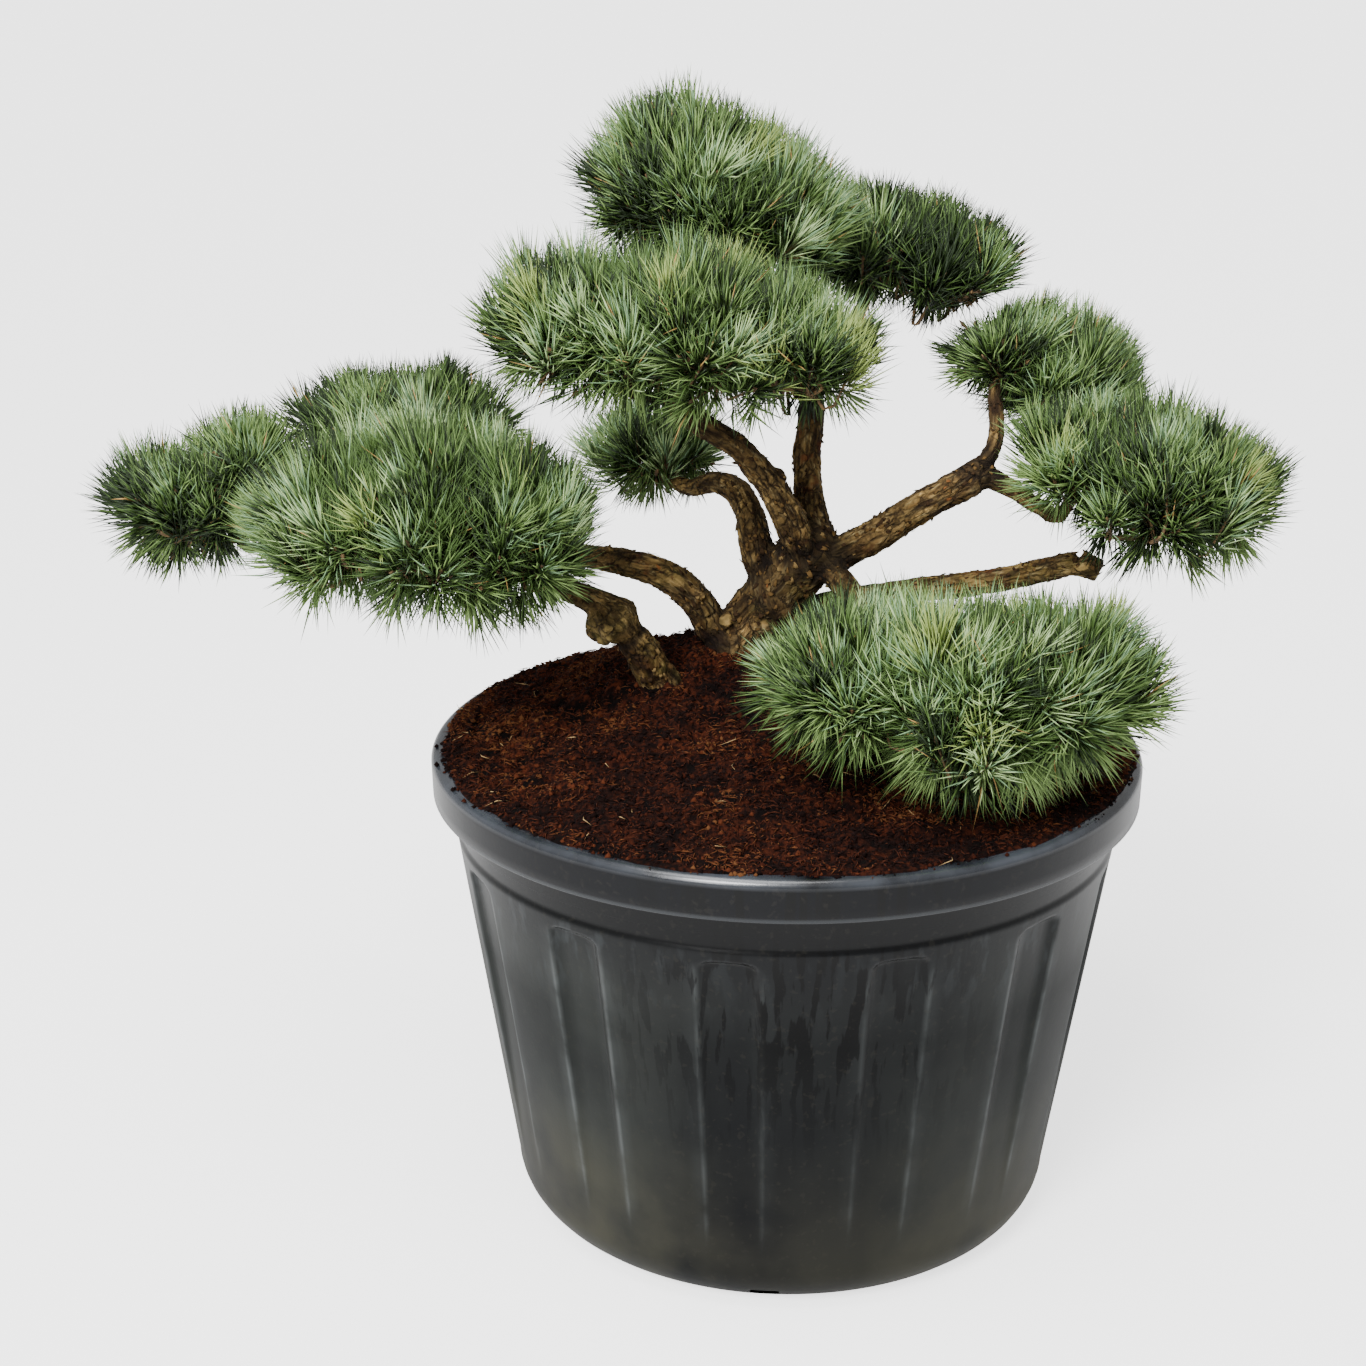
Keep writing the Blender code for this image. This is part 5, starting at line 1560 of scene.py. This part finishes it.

# %% [markdown]
# Peat is made of crumbs and coir of short fibres, and both lie loose on top. The crumbs are lopsided
# eight-faced grains, the fibres thin bent spindles, some of them pale as straw. They are strewn evenly,
# clear of the limbs, some of them on the rim, and take the darker tones in damp patches and, as painted
# shade, in front.

# %% Crumbs and fibres
CRUMBS = 14000
CRUMB_FACES = ((0, 2, 4), (2, 1, 4), (1, 3, 4), (3, 0, 4), (2, 0, 5), (1, 2, 5), (3, 1, 5), (0, 3, 5))
CRUMB_LIMITS = (0.38, 0.76, 0.97)
FIBRES = 21000
FIBRE_LIMITS = (0.36, 0.80)
STRAW_FIBRES = 0.0045
CRUMB_TONES = [plain_finish(name, colour, 0.95, 0.12) for name, colour in (
    ("crumb_dark", linear(21, 9, 6)), ("crumb_brown", linear(50, 24, 14)),
    ("crumb_red", linear(72, 38, 23)), ("crumb_tan", linear(88, 57, 35)))]
FIBRE_TONES = [plain_finish(name, colour, 0.88, 0.18) for name, colour in (
    ("fibre_brown", linear(66, 34, 20)), ("fibre_orange", linear(90, 54, 31)),
    ("fibre_dark", linear(26, 10, 5)), ("fibre_straw", linear(164, 136, 96)))]


def strewn(total, rng, reach):
    """Even random places on the soil, as far out as reach, with their heights."""
    radius = reach * np.sqrt(rng.random(total))
    angle = rng.uniform(0.0, 2 * math.pi, total)
    x, y = radius * np.cos(angle), radius * np.sin(angle)
    height = np.where(radius < ragged_edge(x, y), bed_height(x, y), POT_HEIGHT + 0.0005)
    return np.stack([x, y, height], axis=1)


def damp_and_front_shade(places):
    """How much darker the soil is at each place: damp patches a hand wide, and painted shade in front."""
    patches = 0.5 * layered_noise(places * np.array((1.0, 1.0, 0.0)) / 0.055, 2, 93)
    return patches + 0.16 * (ease(-0.02, -0.24, places[:, 1]) - 0.4)


def off_the_limbs(places):
    """Places clear of the trunk and the low bough."""
    return places[distances_to_limbs(places) > 0.001]


def crumbs_mesh():
    """Small lopsided eight-faced crumbs."""
    rng = np.random.default_rng(SEED + 1)
    inner = strewn(CRUMBS, rng, SOIL_OVER_RIM)
    outer = strewn(CRUMBS // 2, rng, SOIL_OVER_RIM + 0.008)
    away = np.hypot(outer[:, 0], outer[:, 1]) - ragged_edge(outer[:, 0], outer[:, 1])
    outer = outer[(np.abs(away + 0.002) < 0.005) | ((away > 0) & (rng.random(len(away)) < 0.12))]
    places = off_the_limbs(np.concatenate([inner, outer]))
    total = len(places)
    size = 0.0011 + 0.0036 * rng.random(total) ** 2.4
    corners = np.array([(1, 0, 0), (-1, 0, 0), (0, 1, 0), (0, -1, 0), (0, 0, 1), (0, 0, -1)], float)
    shape = corners[None] * rng.uniform(0.45, 1.25, (total, 6, 1)) * size[:, None, None]
    turn = rng.uniform(0, 2 * math.pi, total)
    x = shape[..., 0] * np.cos(turn)[:, None] - shape[..., 1] * np.sin(turn)[:, None]
    y = shape[..., 0] * np.sin(turn)[:, None] + shape[..., 1] * np.cos(turn)[:, None]
    points = places[:, None] + np.stack([x, y, shape[..., 2] * 0.8], axis=2)
    # Darker tones in damp patches and, as painted shade, in front.
    tone = np.digitize(rng.random(total) - damp_and_front_shade(places), CRUMB_LIMITS)
    return repeated_mesh("soil_crumbs", points, CRUMB_FACES, tone)


def fibres_mesh():
    """Short curved fibres lying on the soil: thin three-sided spindles with a bend."""
    rng = np.random.default_rng(SEED + 2)
    places = off_the_limbs(strewn(FIBRES, rng, SOIL_OVER_RIM - 0.002))
    total = len(places)
    straw = rng.random(total) < STRAW_FIBRES
    length = np.where(straw, rng.uniform(0.014, 0.040, total), 0.004 + 0.014 * rng.random(total) ** 1.5)
    width = np.where(straw, 0.0010, rng.uniform(0.0006, 0.0014, total))
    turn = rng.uniform(0, 2 * math.pi, total)
    way = np.stack([np.cos(turn), np.sin(turn), rng.uniform(-0.10, 0.45, total) * (1 - 0.8 * straw)], axis=1)
    flat = np.stack([-np.sin(turn), np.cos(turn), np.zeros(total)], axis=1)
    bend = rng.normal(0.0, 0.16, total)
    middle = places + flat * (bend * length)[:, None]
    middle[:, 2] += 0.0018
    half = (width * 0.5)[:, None]
    up = np.array((0.0, 0.0, 1.0))
    lift = places + up * 0.0006
    reach = way * (length * 0.5)[:, None]
    points = np.stack([lift - reach, middle - flat * half, middle + flat * half,
                       middle + up * half * 1.6, lift + reach], axis=1)
    # Darker tones in damp patches and, as painted shade, in front.
    tone = np.digitize(rng.random(total) - damp_and_front_shade(places), FIBRE_LIMITS)
    tone = np.where(straw, 3, np.array((2, 0, 1))[tone])
    return repeated_mesh("soil_fibres", points, SPINDLE_FACES, tone)


crumbs = add_piece("soil_crumbs", crumbs_mesh(), CRUMB_TONES, ("soil",))
fibres = add_piece("soil_fibres", fibres_mesh(), FIBRE_TONES, ("soil",))
print("crumbs", triangle_count(crumbs), "fibres", triangle_count(fibres), "triangles")

# %% [markdown]
# The stage is a pale floor that reads as white behind the plant: it glows, but only to the camera, so
# it lights nothing from below. A diffused sun and two large soft boxes, above and in front, light the
# domes bright on top and leave them deep green below, and the rim catches a line of light.

# %% Stage and light
FLOOR_REACH = 45.0
FLOOR_LIFT = 2.0
SUN_POWER = 3.8
SUN_SPREAD = math.radians(20.0)
SUN_WAY = (0.36, 0.92, -0.92)
ROOM_LIGHT = 0.56

floor_mesh = bpy.data.meshes.new("studio_floor")
bm = bmesh.new()
bmesh.ops.create_grid(bm, x_segments=1, y_segments=1, size=FLOOR_REACH)
bm.to_mesh(floor_mesh)
bm.free()
floor = placed("studio_floor", floor_mesh)
floor.location.z = CAD_BOX[0][2] - 0.0005
pale_floor = plain_finish("pale_floor", (0.86, 0.86, 0.86, 1.0), 0.9, 0.2)
seen = pale_floor.node_tree.nodes.new("ShaderNodeLightPath").outputs["Is Camera Ray"]
lift = pale_floor.node_tree.nodes.new("ShaderNodeMath")
lift.operation = "MULTIPLY"
lift.inputs[1].default_value = FLOOR_LIFT
pale_floor.node_tree.links.new(seen, lift.inputs[0])
floor_shader = pale_floor.node_tree.nodes["Principled BSDF"]
floor_shader.inputs["Emission Color"].default_value = (1.0, 1.0, 1.0, 1.0)
pale_floor.node_tree.links.new(lift.outputs["Value"], floor_shader.inputs["Emission Strength"])
floor_mesh.materials.append(pale_floor)


def soft_box(name, place, aim, size, power):
    """A square area light aimed at a point."""
    data = bpy.data.lights.new(name, "AREA")
    data.shape = "SQUARE"
    data.size = size
    data.energy = power
    light = placed(name, data)
    light.location = place
    light.rotation_euler = (Vector(aim) - Vector(place)).to_track_quat("-Z", "Y").to_euler()
    return light


soft_box("top_box", (-0.5, -0.9, 3.2), (0.0, 0.0, 0.7), 1.6, 70.0)
soft_box("front_box", (-1.5, -3.2, 2.0), (0.0, 0.0, 0.6), 1.2, 60.0)

sun_data = bpy.data.lights.new("diffused_sun", "SUN")
sun_data.energy = SUN_POWER
sun_data.angle = SUN_SPREAD
sun = placed("diffused_sun", sun_data)
sun.rotation_euler = Vector(SUN_WAY).to_track_quat("-Z", "Y").to_euler()

world = bpy.data.worlds.new("pale_room")
world.use_nodes = True
world.node_tree.nodes["Background"].inputs["Color"].default_value = (1.0, 1.0, 1.0, 1.0)
world.node_tree.nodes["Background"].inputs["Strength"].default_value = ROOM_LIGHT
bpy.context.scene.world = world
